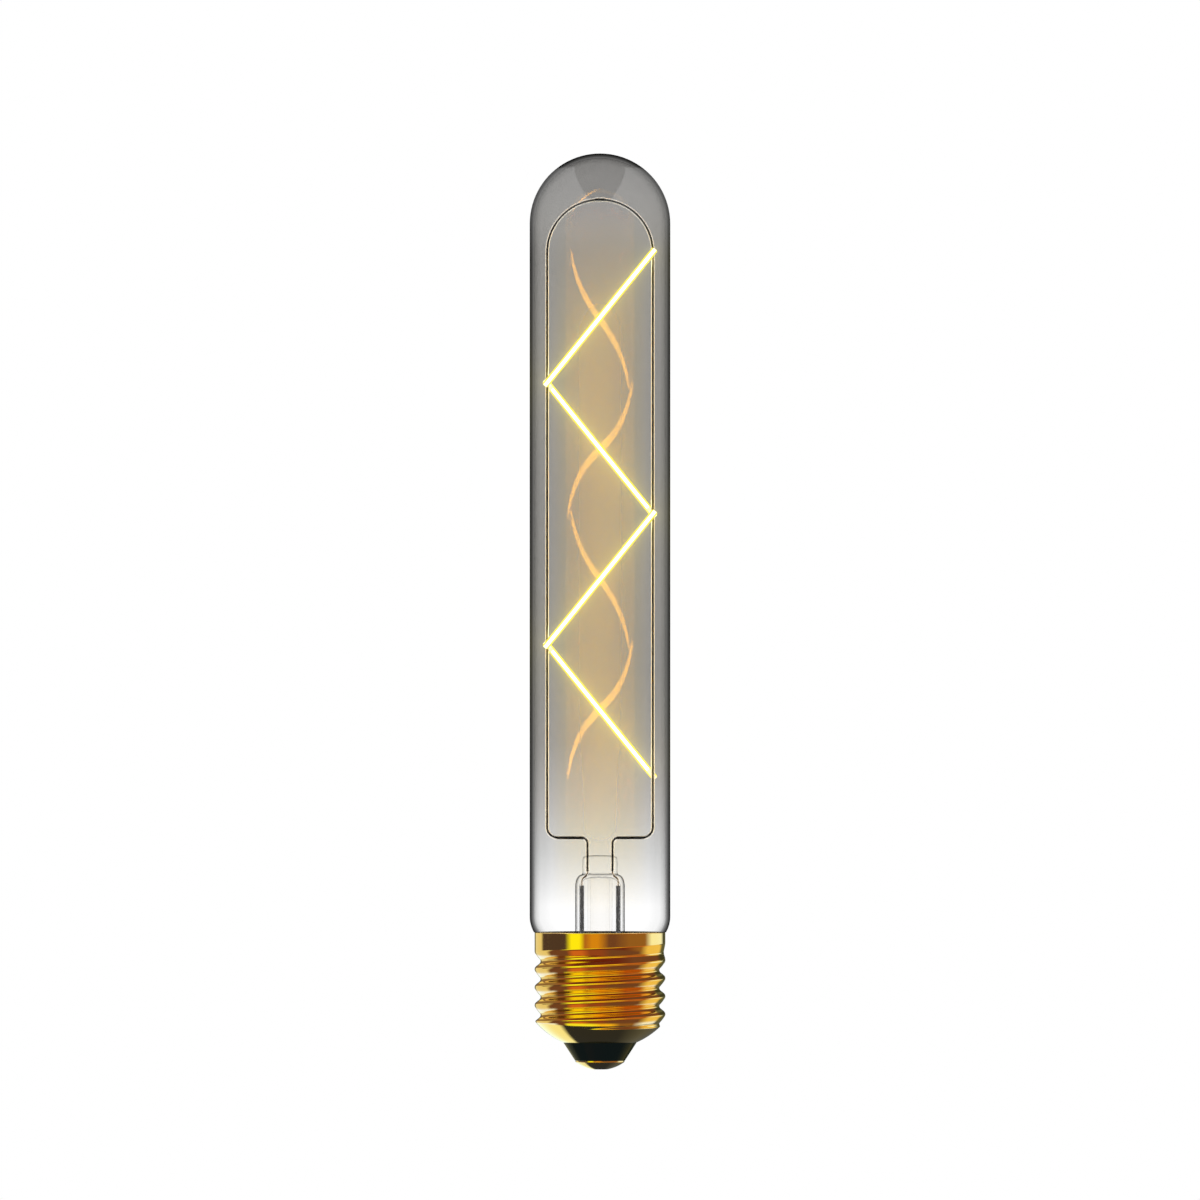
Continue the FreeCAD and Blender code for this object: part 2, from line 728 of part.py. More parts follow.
def make_tab(index, end, direction):
    """The metal strip on one end of a stick, between it and the frame wire it is welded to."""
    tab = doc.addObject("Part::Box", f"filament_{index}_{end}_tab")
    tab.setExpression("Length", tab_width.text)
    tab.setExpression("Width", tab_thickness.text)
    tab.setExpression("Height", tab_length.text)
    foot = stick_length.number / 2 - tab_lap.number
    if direction < 0:
        foot = -foot - tab_length.number
    corner = Vector(-tab_width.number / 2, -tab_thickness.number / 2, foot)
    tab.Placement = stick_frame(index, tab_setback) * Placement(corner, Rotation())
    return tab


# Driver


def make_driver_board():
    """Round board with a hole for each lead."""
    body = new_body("driver_board")
    face = new_sketch(body, "board_face", "XY_Plane", board_height)
    circle_at(face, ZERO, ZERO, board_radius)
    for across in (ZERO, lead_offset, -lead_offset, neutral_offset):
        circle_at(face, across, ZERO, board_hole_radius)
    padded(body, "board", face, board_thickness)
    return body


def make_footed_package(label, side, length, width, height):
    """A moulded package hung under the board on four feet, to one side of the resistor."""
    body = new_body(label)
    offset = (resistor_radius + package_clearance + width / 2) * side
    top = new_sketch(body, f"{label}_top", "XY_Plane", board_height - height - foot_thickness)
    rectangle_at(top, ZERO, offset, length, width)
    padded(body, f"{label}_case", top, height)
    feet = new_sketch(body, f"{label}_feet", "XY_Plane", board_height - foot_thickness)
    reach = width / 2
    for across in (length / 4, -(length / 4)):
        for along in (offset + reach, offset - reach):
            rectangle_at(feet, across, along, foot_width, foot_length * 2)
    padded(body, f"{label}_foot_pads", feet, foot_thickness)
    return body


def make_smoothing_capacitor():
    """A small upright can with the rolled groove above its bung."""
    base = board_top_height
    groove = capacitor_radius - capacitor_groove
    body = turned_body("smoothing_capacitor", (ZERO, base), [
        (capacitor_radius, base),
        (capacitor_radius, base + capacitor_groove * 2),
        (groove, base + capacitor_groove * 3),
        (capacitor_radius, base + capacitor_groove * 4),
        (capacitor_radius, base + capacitor_height),
        (ZERO, base + capacitor_height),
        (ZERO, base),
    ])
    offset = board_radius - capacitor_margin - capacitor_radius
    body.Placement.Base = Vector(0, offset.number, 0)
    return body


def make_fuse_resistor():
    """The fusible resistor in the live lead, from the contact up through the board."""
    top = board_height - lead_tail / 2
    low = top - resistor_length
    waist = resistor_radius - resistor_waist
    lead_top = board_top_height + lead_tail / 2
    return turned_body("fuse_resistor", (ZERO, contact_sheet), [
        (lead_radius, contact_sheet),
        (lead_radius, low),
        (resistor_radius, low),
        (resistor_radius, low + resistor_cap_length),
        (waist, low + resistor_cap_length + resistor_waist),
        (waist, top - resistor_cap_length - resistor_waist),
        (resistor_radius, top - resistor_cap_length),
        (resistor_radius, top),
        (lead_radius, top),
        (lead_radius, lead_top),
        (ZERO, lead_top),
        (ZERO, contact_sheet),
    ])


def make_sense_resistor():
    chip = doc.addObject("Part::Box", "sense_resistor")
    chip.setExpression("Length", chip_resistor_length.text)
    chip.setExpression("Width", chip_resistor_width.text)
    chip.setExpression("Height", chip_resistor_height.text)
    outer_edge = board_radius - chip_resistor_margin
    chip.Placement.Base = Vector(-chip_resistor_length.number / 2, -outer_edge.number,
                                 board_top_height.number)
    return chip


def make_parts():
    """Every separate piece of the bulb, from the cap up."""
    frame_wires = [make_frame_wire("right", False), make_frame_wire("left", True)]
    seal_wires = [make_seal_wire("right", False), make_seal_wire("left", True)]
    parts = [
        make_screw_shell(),
        make_cap_insulator(),
        make_centre_contact(),
        make_capping_cement(),
        make_glass_envelope(),
        make_stem_glass(frame_wires + seal_wires),
        make_exhaust_tube(),
        make_apex_insulator(frame_wires),
    ]
    parts += frame_wires + seal_wires
    for side, direction in (("right", 1), ("left", -1)):
        parts += [make_outer_lead(side, direction), make_lead_sleeve(side, direction)]
    for index in range(1, STICK_COUNT + 1):
        parts += [make_filament(index), make_tab(index, "upper", 1), make_tab(index, "lower", -1)]
    parts += [
        make_driver_board(),
        make_footed_package("bridge_rectifier", -1, rectifier_length, rectifier_width,
                            rectifier_height),
        make_footed_package("driver_chip", 1, chip_length, chip_width, chip_height),
        make_smoothing_capacitor(),
        make_fuse_resistor(),
        make_sense_resistor(),
        make_neutral_lead(),
    ]
    return parts


def check(parts):
    """Stops if any object failed or any piece isn't one sound solid."""
    for item in doc.Objects:
        if "Invalid" in item.State or "Error" in item.State:
            raise RuntimeError(f"{item.Label} failed: {item.State}")
    for part in parts:
        shape = part.Shape
        if shape.isNull() or not shape.isValid() or len(shape.Solids) != 1:
            raise RuntimeError(f"{part.Label} isn't one sound solid")


def export(parts):
    os.makedirs("parts", exist_ok=True)
    for part in parts:
        part.Shape.exportStep(f"parts/{part.Label}.step")


parts = make_parts()
doc.recompute()
check(parts)
export(parts)
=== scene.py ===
import math

import bpy
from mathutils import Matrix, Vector


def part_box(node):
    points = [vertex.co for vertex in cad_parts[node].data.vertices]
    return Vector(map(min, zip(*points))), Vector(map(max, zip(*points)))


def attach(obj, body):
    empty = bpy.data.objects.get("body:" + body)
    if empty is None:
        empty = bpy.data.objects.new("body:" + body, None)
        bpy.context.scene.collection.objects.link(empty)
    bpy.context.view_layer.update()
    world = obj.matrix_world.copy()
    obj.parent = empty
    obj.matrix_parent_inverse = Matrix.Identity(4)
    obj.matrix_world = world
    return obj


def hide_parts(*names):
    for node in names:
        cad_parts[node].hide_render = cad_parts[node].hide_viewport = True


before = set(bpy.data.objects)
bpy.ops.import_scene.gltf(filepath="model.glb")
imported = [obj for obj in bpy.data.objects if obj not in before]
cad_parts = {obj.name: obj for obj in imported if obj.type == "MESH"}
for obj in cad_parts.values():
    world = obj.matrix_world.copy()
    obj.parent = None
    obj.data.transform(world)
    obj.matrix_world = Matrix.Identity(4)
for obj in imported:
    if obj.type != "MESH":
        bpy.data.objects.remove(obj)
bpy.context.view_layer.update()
scene = bpy.context.scene

# Sizes in millimetres, the same as in the part's source. A mesh is built in millimetres and scaled
# once. +Z runs up the bulb's axis from the tip of its contact, and the front faces -Y.
MM = 0.001

OVERALL_LENGTH = 185.0
GLASS_RADIUS = 14.2
GLASS_WALL = 0.9
NECK_HEIGHT = 3.1
NECK_OVERHANG = 0.15
NECK_CURVE_RADIUS = 6.3
NECK_INSIDE_RISE = 4.4
NECK_INSIDE_CURVE = 7.8
TAIL_LENGTH = 7.7
TAIL_STRAIGHT_LENGTH = 3.2
TAIL_CLEARANCE = 0.4

RIM_HEIGHT = 27.7
CREST_RADIUS = 13.2
THREAD_PITCH = 3.629
THREAD_DEPTH = 1.2
GROOVE_DROP = 11.18
GROOVE_TURNS_ABOVE = 2.25
GROOVE_FADE_TURNS = 0.75
SHELL_SHEET = 0.3
COLLAR_DEPTH = 2.5
BOWL_RADIUS = 16.0
BOWL_CENTRE_RADIUS = 1.0
MOUTH_RADIUS = 7.45

CONTACT_RADIUS = 4.95
CONTACT_RISE = 1.5
CONTACT_LIP = 0.25
CONTACT_FLAT_RADIUS = 1.5
CONTACT_SHEET = 0.4
SHANK_RADIUS = 1.2
SHANK_BORE_RADIUS = 0.6
SHANK_FLANGE_WIDTH = 0.6
SHANK_FLANGE_HEIGHT = 0.3
INSULATOR_FOOT_MARGIN = 0.15
INSULATOR_CONE_HEIGHT = 3.7
INSULATOR_RIM_RISE = 2.05
INSULATOR_RIM_RADIUS = 9.6
INSULATOR_DISH_DEPTH = 2.9
INSULATOR_DISH_RADIUS = 5.2
INSULATOR_FLOOR_RADIUS = 3.4

STEM_RADIUS = 5.0
STEM_WALL = 0.8
STEM_REACH = 11.8
PINCH_WIDTH = 7.0
PINCH_THICKNESS = 3.6
PINCH_RISE = 3.7
EXHAUST_RADIUS = 2.5
EXHAUST_WALL = 0.5
EXHAUST_TIP_HEIGHT = 14.8
EXHAUST_TIP_LENGTH = 3.0
EXHAUST_TIP_RADIUS = 0.6

WIRE_RADIUS = 0.4
RAIL_CLEARANCE = 2.62
APEX_CLEARANCE = 8.42
APEX_GAP = 0.4
CROSSBAR_RISE = 3.6
RAIL_BEND_RADIUS = 2.1
DROP_BEND_RADIUS = 1.2
PINCH_EDGE_COVER = 0.96
WELD_DEPTH = 3.2
STICK_WIDTH = 1.3

# Heights and radii that follow from those sizes
CONTACT_BACK_HEIGHT = CONTACT_RISE + CONTACT_LIP
MOUTH_HEIGHT = CONTACT_BACK_HEIGHT + INSULATOR_CONE_HEIGHT
BOWL_CENTRE_HEIGHT = MOUTH_HEIGHT + math.sqrt(BOWL_RADIUS**2 - (MOUTH_RADIUS - BOWL_CENTRE_RADIUS) ** 2)
BOWL_INNER_RADIUS = BOWL_RADIUS - SHELL_SHEET
INSULATOR_RIM_HEIGHT = MOUTH_HEIGHT + INSULATOR_RIM_RISE
INSULATOR_FLOOR_HEIGHT = INSULATOR_RIM_HEIGHT - INSULATOR_DISH_DEPTH
BORE_RADIUS = CREST_RADIUS - THREAD_DEPTH - SHELL_SHEET
COLLAR_INNER_RADIUS = CREST_RADIUS - SHELL_SHEET
COLLAR_INSIDE_HEIGHT = RIM_HEIGHT - COLLAR_DEPTH
GROOVE_HEIGHT = RIM_HEIGHT - GROOVE_DROP
TAIL_END_HEIGHT = RIM_HEIGHT - TAIL_LENGTH
TAIL_STRAIGHT_HEIGHT = TAIL_END_HEIGHT + TAIL_STRAIGHT_LENGTH
TAIL_RADIUS = BORE_RADIUS - TAIL_CLEARANCE
TAIL_INNER_RADIUS = TAIL_RADIUS - GLASS_WALL
TAIL_TOP_RADIUS = COLLAR_INNER_RADIUS - SHELL_SHEET
NECK_START_HEIGHT = RIM_HEIGHT + NECK_HEIGHT
INNER_RADIUS = GLASS_RADIUS - GLASS_WALL
DOME_HEIGHT = OVERALL_LENGTH - GLASS_RADIUS
STEM_INNER_RADIUS = STEM_RADIUS - STEM_WALL
STEM_FOOT_HEIGHT = TAIL_END_HEIGHT - STEM_WALL
STEM_TOP_HEIGHT = RIM_HEIGHT + STEM_REACH
FLARE_CURVE = TAIL_INNER_RADIUS - STEM_RADIUS
FLARE_TOP_HEIGHT = TAIL_END_HEIGHT + FLARE_CURVE
PINCH_HEIGHT = STEM_TOP_HEIGHT + PINCH_RISE
DROP_OFFSET = PINCH_WIDTH / 2 - PINCH_EDGE_COVER
WELD_HEIGHT = PINCH_HEIGHT - WELD_DEPTH
CROSSBAR_HEIGHT = PINCH_HEIGHT + CROSSBAR_RISE
RAIL_OFFSET = INNER_RADIUS - RAIL_CLEARANCE
ARCH_HEIGHT = OVERALL_LENGTH - GLASS_WALL - APEX_CLEARANCE - RAIL_OFFSET


# Node networks


TRANSPARENT = "ShaderNodeBsdfTransparent"
DIFFUSE = "ShaderNodeBsdfDiffuse"
GLOSSY = "ShaderNodeBsdfAnisotropic"
BLACK = (0.0, 0.0, 0.0)
WHITE = (1.0, 1.0, 1.0)


class Network:
    """The nodes of a material, the world or the compositor, with short ways to add to them."""

    def __init__(self, owner):
        owner.use_nodes = True
        self.nodes = owner.node_tree.nodes
        self.links = owner.node_tree.links

    def put(self, socket, value):
        """Puts a number, a colour, a vector or another node's output into a socket."""
        if isinstance(value, bpy.types.NodeSocket):
            self.links.new(value, socket)
        elif socket.type == "RGBA":
            socket.default_value = (*value, 1)
        else:
            socket.default_value = value

    def fill(self, node, inputs):
        """Puts values into a node's sockets. A socket is named with _ for each space."""
        for name, value in inputs.items():
            self.put(node.inputs[name.replace("_", " ")], value)

    def node(self, kind, **inputs):
        """A new node, with values in its sockets."""
        made = self.nodes.new(kind)
        self.fill(made, inputs)
        return made

    def maths(self, operation, *values):
        made = self.nodes.new("ShaderNodeMath")
        made.operation = operation
        for socket, value in zip(made.inputs, values):
            self.put(socket, value)
        return made.outputs["Value"]

    def mapped(self, value, low, high, to_low=0.0, to_high=1.0, kind="LINEAR"):
        made = self.node("ShaderNodeMapRange", Value=value, From_Min=low, From_Max=high,
                         To_Min=to_low, To_Max=to_high)
        made.interpolation_type = kind
        return made.outputs["Result"]

    def ramp(self, value, stops):
        """Stops are (value, colour), or (value, shade) for a grey."""
        made = self.node("ShaderNodeValToRGB", Fac=value)
        elements = made.color_ramp.elements
        while len(elements) < len(stops):
            elements.new(0.5)
        for element, (position, colour) in zip(elements, stops):
            element.position = position
            element.color = (*colour, 1) if isinstance(colour, tuple) else (colour, colour, colour, 1)
        return made.outputs["Color"]

    def mix(self, first, second, factor, blend="MIX"):
        made = self.nodes.new("ShaderNodeMix")
        made.data_type = "RGBA"
        made.blend_type = blend
        self.fill(made, {"A": first, "B": second, "Factor": factor})
        return made.outputs["Result"]

    def product(self, first, second):
        return self.mix(first, second, 1.0, "MULTIPLY")

    def place(self):
        """Where the shaded point is, in metres."""
        return self.node("ShaderNodeTexCoord").outputs["Object"]

    def by_height(self, stops):
        """A colour or a grey that follows the height: stops are (height in millimetres, colour)."""
        split = self.node("ShaderNodeSeparateXYZ", Vector=self.place())
        share = self.mapped(split.outputs["Z"], 0, OVERALL_LENGTH * MM)
        return self.ramp(share, [(z / OVERALL_LENGTH, colour) for z, colour in stops])

    def by_facing(self, stops):
        """A colour or a grey that runs from 0, a face seen square on, to 1, a face seen edge on."""
        return self.ramp(self.node("ShaderNodeLayerWeight", Blend=0.5).outputs["Facing"], stops)

    def noise(self, scale, detail, stretch=(1, 1, 1)):
        mapping = self.node("ShaderNodeMapping", Vector=self.place(), Scale=stretch)
        made = self.node("ShaderNodeTexNoise", Vector=mapping.outputs["Vector"], Scale=scale, Detail=detail)
        return made.outputs["Fac"]

    def lobe(self, kind, colour, roughness=None):
        """One way of sending light on: through, scattered, mirrored or given off."""
        made = self.node(kind, Color=colour)
        if roughness is not None:
            self.put(made.inputs["Roughness"], roughness)
        return made.outputs[0]

    def added(self, first, second):
        made = self.nodes.new("ShaderNodeAddShader")
        self.put(made.inputs[0], first)
        self.put(made.inputs[1], second)
        return made.outputs["Shader"]

    def on_front(self, front, back):
        """One look on the side that a face points to, and another on its back."""
        made = self.node("ShaderNodeMixShader", Fac=self.node("ShaderNodeNewGeometry").outputs["Backfacing"])
        self.put(made.inputs[1], front)
        self.put(made.inputs[2], back)
        return made.outputs["Shader"]


def bare_material(name):
    """A material with nothing but its output, its network and the socket for its surface."""
    made = bpy.data.materials.new(name)
    net = Network(made)
    net.nodes.clear()
    return made, net, net.node("ShaderNodeOutputMaterial").inputs["Surface"]


def shaded_material(name, **inputs):
    """A material of one Principled shader, its network and that shader."""
    made = bpy.data.materials.new(name)
    net = Network(made)
    shader = net.nodes["Principled BSDF"]
    net.fill(shader, inputs)
    return made, net, shader


def plain_material(name, **inputs):
    """A material whose shader has the same values all over."""
    return shaded_material(name, **inputs)[0]


# Glass. Each ramp by height has stops in millimetres, and each ramp by facing runs from 0 to 1.


SMOKE_TINTS = [(33.0, (0.998, 0.998, 0.998)), (38.0, (0.948, 0.948, 0.948)), (44.0, (0.892, 0.892, 0.89)),
               (54.0, (0.827, 0.821, 0.814)), (66.0, (0.757, 0.75, 0.74)), (80.0, (0.732, 0.727, 0.718)),
               (170.0, (0.732, 0.727, 0.718)), (178.0, (0.71, 0.706, 0.7))]
RIM_SHADES = [(0.28, 1.0), (0.38, 0.97), (0.47, 0.955), (0.56, 0.85), (0.62, 0.72), (0.66, 0.52),
              (0.72, 0.36), (0.8, 0.2), (0.9, 0.08), (1.0, 0.03)]
OUTSIDE_GLOSS = [(164.0, 0.012), (176.0, 0.07)]
COATED_HEIGHTS = [(31.0, 0.0), (48.0, 1.0), (150.0, 1.0), (174.0, 0.0)]
# Painted glow: a warm tint on the inner face, strongest where it is seen square on, which stands in for the
# sticks' light
PAINTED_GLOW_TINTS = [(0.0, (1.0, 0.97, 0.82)), (0.1, (1.0, 0.975, 0.86)), (0.3, WHITE)]
GLOW_COLOUR = (0.57, 0.37, 0.0)
# The sticks really light the coat's scattering lobe, but this painted mask keeps that glow to faces seen
# square on, a band down the middle of the view
GLOW_PAINTED_SPREAD = [(0.0, 1.0), (0.05, 0.8), (0.1, 0.53), (0.16, 0.31), (0.24, 0.12), (0.34, 0.0)]
MIRROR_COLOUR = (1.0, 0.5, 0.0)
MIRROR_HEIGHTS = [(42.0, 0.0), (58.0, 1.0)]
MIRROR_SHADES = [(0.0, 0.125), (0.115, 0.125), (0.155, 0.0)]
MIRROR_ROUGHNESS = 0.04
STEM_SHADES = [(0.0, 0.998), (0.5, 0.97), (0.66, 0.74), (0.82, 0.25), (1.0, 0.08)]
HOLLOW_SHADES = [(0.0, 1.0), (0.6, 0.99), (0.9, 0.7), (1.0, 0.5)]
EXHAUST_TINTS = [(0.0, (0.996, 0.992, 0.985)), (0.7, (0.98, 0.975, 0.965)), (1.0, 0.8)]


def outside_glass():
    """The tube's outer face: smoke, a polished gloss, and the dark rim of a wall seen along its depth."""
    made, net, surface = bare_material("smoked_glass_outside")
    tint = net.product(net.by_height(SMOKE_TINTS), net.by_facing(RIM_SHADES))
    seen_through = net.lobe(TRANSPARENT, tint)
    gloss = net.lobe(GLOSSY, net.by_height(OUTSIDE_GLOSS), 0.0)
    net.put(surface, net.on_front(net.added(seen_through, gloss), seen_through))
    return made


def inside_glass():
    """The tube's inner face: a coating that mirrors the light sticks and scatters their light. Its warm tint
    is a painted glow, strongest where the face is seen square on, and a painted mask keeps the scattered
    glow to that middle band.
    """
    made, net, surface = bare_material("smoked_glass_inside")
    smoke = net.by_height(SMOKE_TINTS)
    coated = net.by_height(COATED_HEIGHTS)
    # Painted glow: a warm tint in the middle of the view
    painted_glow_tint = net.mix(WHITE, net.by_facing(PAINTED_GLOW_TINTS), coated)
    seen_through = net.lobe(TRANSPARENT, net.product(smoke, painted_glow_tint))
    # Real light from the sticks, spread by a painted mask into a band down the middle
    glow_share = net.product(coated, net.by_facing(GLOW_PAINTED_SPREAD))
    glow = net.lobe(DIFFUSE, net.product(glow_share, GLOW_COLOUR), 0.0)
    mirror_share = net.product(net.by_height(MIRROR_HEIGHTS), net.by_facing(MIRROR_SHADES))
    mirror = net.lobe(GLOSSY, net.product(mirror_share, MIRROR_COLOUR), MIRROR_ROUGHNESS)
    coating = net.added(net.added(seen_through, glow), mirror)
    net.put(surface, net.on_front(coating, net.lobe(TRANSPARENT, smoke)))
    return made


def thin_glass(name, shades):
    """A clear wall that doesn't bend what is seen through it, and darkens where it is seen edge on."""
    made, net, surface = bare_material(name)
    net.put(surface, net.lobe(TRANSPARENT, net.by_facing(shades)))
    return made


glass_outside = outside_glass()
glass_inside = inside_glass()
stem_clear = thin_glass("stem_clear_glass", STEM_SHADES)
hollow_clear = thin_glass("stem_hollow_glass", HOLLOW_SHADES)
exhaust_clear = thin_glass("exhaust_tube_glass", EXHAUST_TINTS)
black_glass = plain_material("black_glass", Base_Color=(0.012, 0.022, 0.023), Roughness=0.09,
                             Specular_IOR_Level=0.04)


# Metals, plastics and cement


WIRE_TINTS = [(44.0, (0.4, 0.37, 0.33)), (64.0, (0.72, 0.7, 0.66))]
# Painted dark reflection: the wire mirrors little where it is seen square on, so its middle looks dark
# whatever it faces
WIRE_PAINTED_DARK_MIDDLE = [(0.0, 0.04), (0.08, 0.12), (0.16, 1.0)]


def brass(name, colour, roughness):
    """Polished brass with faint upright streaks and a surface that isn't quite even."""
    made, net, shader = shaded_material(name, Base_Color=colour, Metallic=1.0)
    streaks = net.noise(scale=900, detail=4, stretch=(1, 1, 0.08))
    streaked = net.mapped(streaks, 0.3, 0.7, roughness * 0.7, roughness * 1.4)
    dents = net.noise(scale=260, detail=3)
    uneven = net.node("ShaderNodeBump", Height=dents, Distance=0.012 * MM, Strength=1.0)
    net.fill(shader, {"Roughness": streaked, "Normal": uneven.outputs["Normal"]})
    return made


def drawn_wire():
    """Bright wire, darker towards the pinch, which mirrors little where it is seen square on: a painted dark
    reflection down its middle.
    """
    made, net, shader = shaded_material("frame_wire", Metallic=1.0, Roughness=0.1)
    # Darker towards the pinch, with a painted dark reflection down the middle
    tint = net.product(net.by_height(WIRE_TINTS), net.by_facing(WIRE_PAINTED_DARK_MIDDLE))
    net.put(shader.inputs["Base Color"], tint)
    return made


cap_brass = brass("cap_brass", (0.92, 0.66, 0.26), 0.07)
contact_brass = brass("contact_brass", (0.84, 0.62, 0.3), 0.1)
frame_metal = drawn_wire()
lead_metal = plain_material("lead_wire", Base_Color=(0.45, 0.4, 0.36), Metallic=1.0, Roughness=0.28)
# The sleeves give off a faint grey light: painted light that lifts them from black, though they are no lamp
sleeve_painted_glow = plain_material("lead_sleeve", Base_Color=(0.05, 0.05, 0.055), Roughness=0.55,
                             Emission_Color=(0.05, 0.05, 0.052), Emission_Strength=1.0)
# The metal tabs at the sticks' ends give off warm light: a painted glow, though they are no lamp
tab_metal = plain_material("tab_metal", Base_Color=(0.6, 0.58, 0.52), Metallic=1.0, Roughness=0.25,
                           Emission_Color=(1.0, 0.86, 0.45), Emission_Strength=2.5)
cement = plain_material("cement", Base_Color=(0.5, 0.43, 0.33), Roughness=0.9)
board_green = plain_material("circuit_board", Base_Color=(0.02, 0.14, 0.05), Roughness=0.4)
package_resin = plain_material("package_resin", Base_Color=(0.012, 0.012, 0.013), Roughness=0.5)
can_metal = plain_material("capacitor_can", Base_Color=(0.6, 0.6, 0.62), Metallic=1.0, Roughness=0.35)
lacquer = plain_material("resistor_lacquer", Base_Color=(0.18, 0.33, 0.26), Roughness=0.4)


# Mesh helpers


CORNER_MARGIN = 0.06


def arc_points(start, finish, radius, turn, step=4.0):
    """Points after start along the arc to finish: turn is 1 for a left turn and -1 for a right turn."""
    a, b = Vector(start), Vector(finish)
    chord = b - a
    reach = math.sqrt(max(radius**2 - (chord.length / 2) ** 2, 0))
    centre = (a + b) / 2 + Vector((-chord.y, chord.x)).normalized() * reach * turn
    low = math.atan2(a.y - centre.y, a.x - centre.x)
    high = math.atan2(b.y - centre.y, b.x - centre.x)
    sweep = (high - low) % (2 * math.pi)
    if turn < 0:
        sweep -= 2 * math.pi
    count = max(2, math.ceil(abs(math.degrees(sweep)) / step))
    return [(centre.x + radius * math.cos(low + sweep * i / count),
             centre.y + radius * math.sin(low + sweep * i / count)) for i in range(1, count + 1)]


def outline(start, steps):
    """A line of (radius, height) points. A step is (x, y), or (x, y, radius, turn) for an arc. A straight
    run of more than a millimetre has a point close to each end, which keeps its shading flat."""
    points = [start]
    for step in steps:
        if len(step) == 2:
            a, b = Vector(points[-1]), Vector(step)
            length = (b - a).length
            if length > 1.0:
                margin = CORNER_MARGIN / length
                points += [tuple(a.lerp(b, share)) for share in (margin, 1 - margin)]
            points.append(tuple(step))
        else:
            points += arc_points(points[-1], step[:2], step[2], step[3])
    return points


def faces_between(lower, upper):
    """Faces from one ring of vertex numbers to the next. A ring that is one point gives triangles."""
    faces = []
    for i in range(len(lower)):
        j = (i + 1) % len(lower)
        corners = [lower[i], lower[j], upper[j], upper[i]]
        face = [v for n, v in enumerate(corners) if v not in corners[:n]]
        if len(face) > 2:
            faces.append(face)
    return faces


def circle(radius, z, segments):
    angles = [2 * math.pi * i / segments for i in range(segments)]
    return [(radius * math.cos(angle), radius * math.sin(angle), z) for angle in angles]


def build(name, vertices, faces, materials, replaced, sharp=35.0, indices=None):
    """Makes a piece of a mesh in millimetres. It stands for the CAD nodes that are replaced."""
    mesh = bpy.data.meshes.new(name)
    mesh.from_pydata([(x * MM, y * MM, z * MM) for x, y, z in vertices], [], faces)
    mesh.validate()
    for mat in materials:
        mesh.materials.append(mat)
    if indices:
        mesh.polygons.foreach_set("material_index", indices)
    mesh.shade_smooth()
    mesh.set_sharp_from_angle(angle=math.radians(sharp))
    mesh.update()
    piece = bpy.data.objects.new(name, mesh)
    scene.collection.objects.link(piece)
    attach(piece, "root")
    if replaced:
        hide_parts(*replaced)
    return piece


def lathe(name, points, materials, replaced, segments, second_from=None, closed=True):
    """Turns a line of points about Z. The line runs with the solid on its left, so the faces look
    outwards. A point on the axis is one vertex. The second material starts at the row second_from."""
    vertices, rings = [], []
    for radius, z in points:
        if radius < 1e-6:
            rings.append([len(vertices)] * segments)
            vertices.append((0, 0, z))
        else:
            rings.append(range(len(vertices), len(vertices) + segments))
            vertices += circle(radius, z, segments)
    following = rings[1:] + rings[:1] if closed else rings[1:]
    faces, indices = [], []
    for row, (lower, upper) in enumerate(zip(rings, following)):
        made = faces_between(lower, upper)
        faces += made
        indices += [1 if second_from is not None and row >= second_from else 0] * len(made)
    return build(name, vertices, faces, materials, replaced, indices=indices)


def skin(name, rings, materials, replaced, sharp=35.0, closed=False):
    """Joins rings of as many points. The last ring joins the first, or each end has a face of its own."""
    segments = len(rings[0])
    vertices = [point for ring in rings for point in ring]
    numbers = [range(row * segments, (row + 1) * segments) for row in range(len(rings))]
    following = numbers[1:] + numbers[:1] if closed else numbers[1:]
    faces = []
    for lower, upper in zip(numbers, following):
        faces += faces_between(lower, upper)
    if not closed:
        faces.append(list(numbers[0])[::-1])
        faces.append(list(numbers[-1]))
    return build(name, vertices, faces, materials, replaced, sharp)


def smooth(share):
    """Eases from 0 to 1, and stays there outside that range."""
    share = min(max(share, 0), 1)
    return share * share * (3 - 2 * share)


# Glass envelope: its outside from the tail up, then its inside down again


outside = outline((TAIL_INNER_RADIUS, TAIL_END_HEIGHT), [
    (TAIL_RADIUS, TAIL_END_HEIGHT),
    (TAIL_RADIUS, TAIL_STRAIGHT_HEIGHT),
    (TAIL_TOP_RADIUS, RIM_HEIGHT),
    (CREST_RADIUS + NECK_OVERHANG, RIM_HEIGHT),
    (GLASS_RADIUS, NECK_START_HEIGHT, NECK_CURVE_RADIUS, 1),
    (GLASS_RADIUS, DOME_HEIGHT),
    (0, OVERALL_LENGTH, GLASS_RADIUS, 1),
])
inside = outline((0, OVERALL_LENGTH - GLASS_WALL), [
    (INNER_RADIUS, DOME_HEIGHT, INNER_RADIUS, -1),
    (INNER_RADIUS, NECK_START_HEIGHT + GLASS_WALL),
    (TAIL_TOP_RADIUS - GLASS_WALL, NECK_START_HEIGHT - NECK_INSIDE_RISE + GLASS_WALL, NECK_INSIDE_CURVE, -1),
    (TAIL_INNER_RADIUS, TAIL_STRAIGHT_HEIGHT),
])
lathe("glass_envelope_skin", outside + inside, [glass_outside, glass_inside],
      ["glass_envelope"], segments=256, second_from=len(outside))


# Stem: a flared tube pressed flat at its top, without ways for the wires


SHOULDER_FOOT_HEIGHT = 36.9
SHOULDER_START_HEIGHT = 37.0
SHOULDER_RISE = 2.3
SHOULDER_TOP_RADIUS = 3.75
SHOULDER_FLATTENING = 0.5
SHOULDER_SHARES = (0, 0.12, 0.25, 0.4, 0.55, 0.7, 0.85, 1.0)
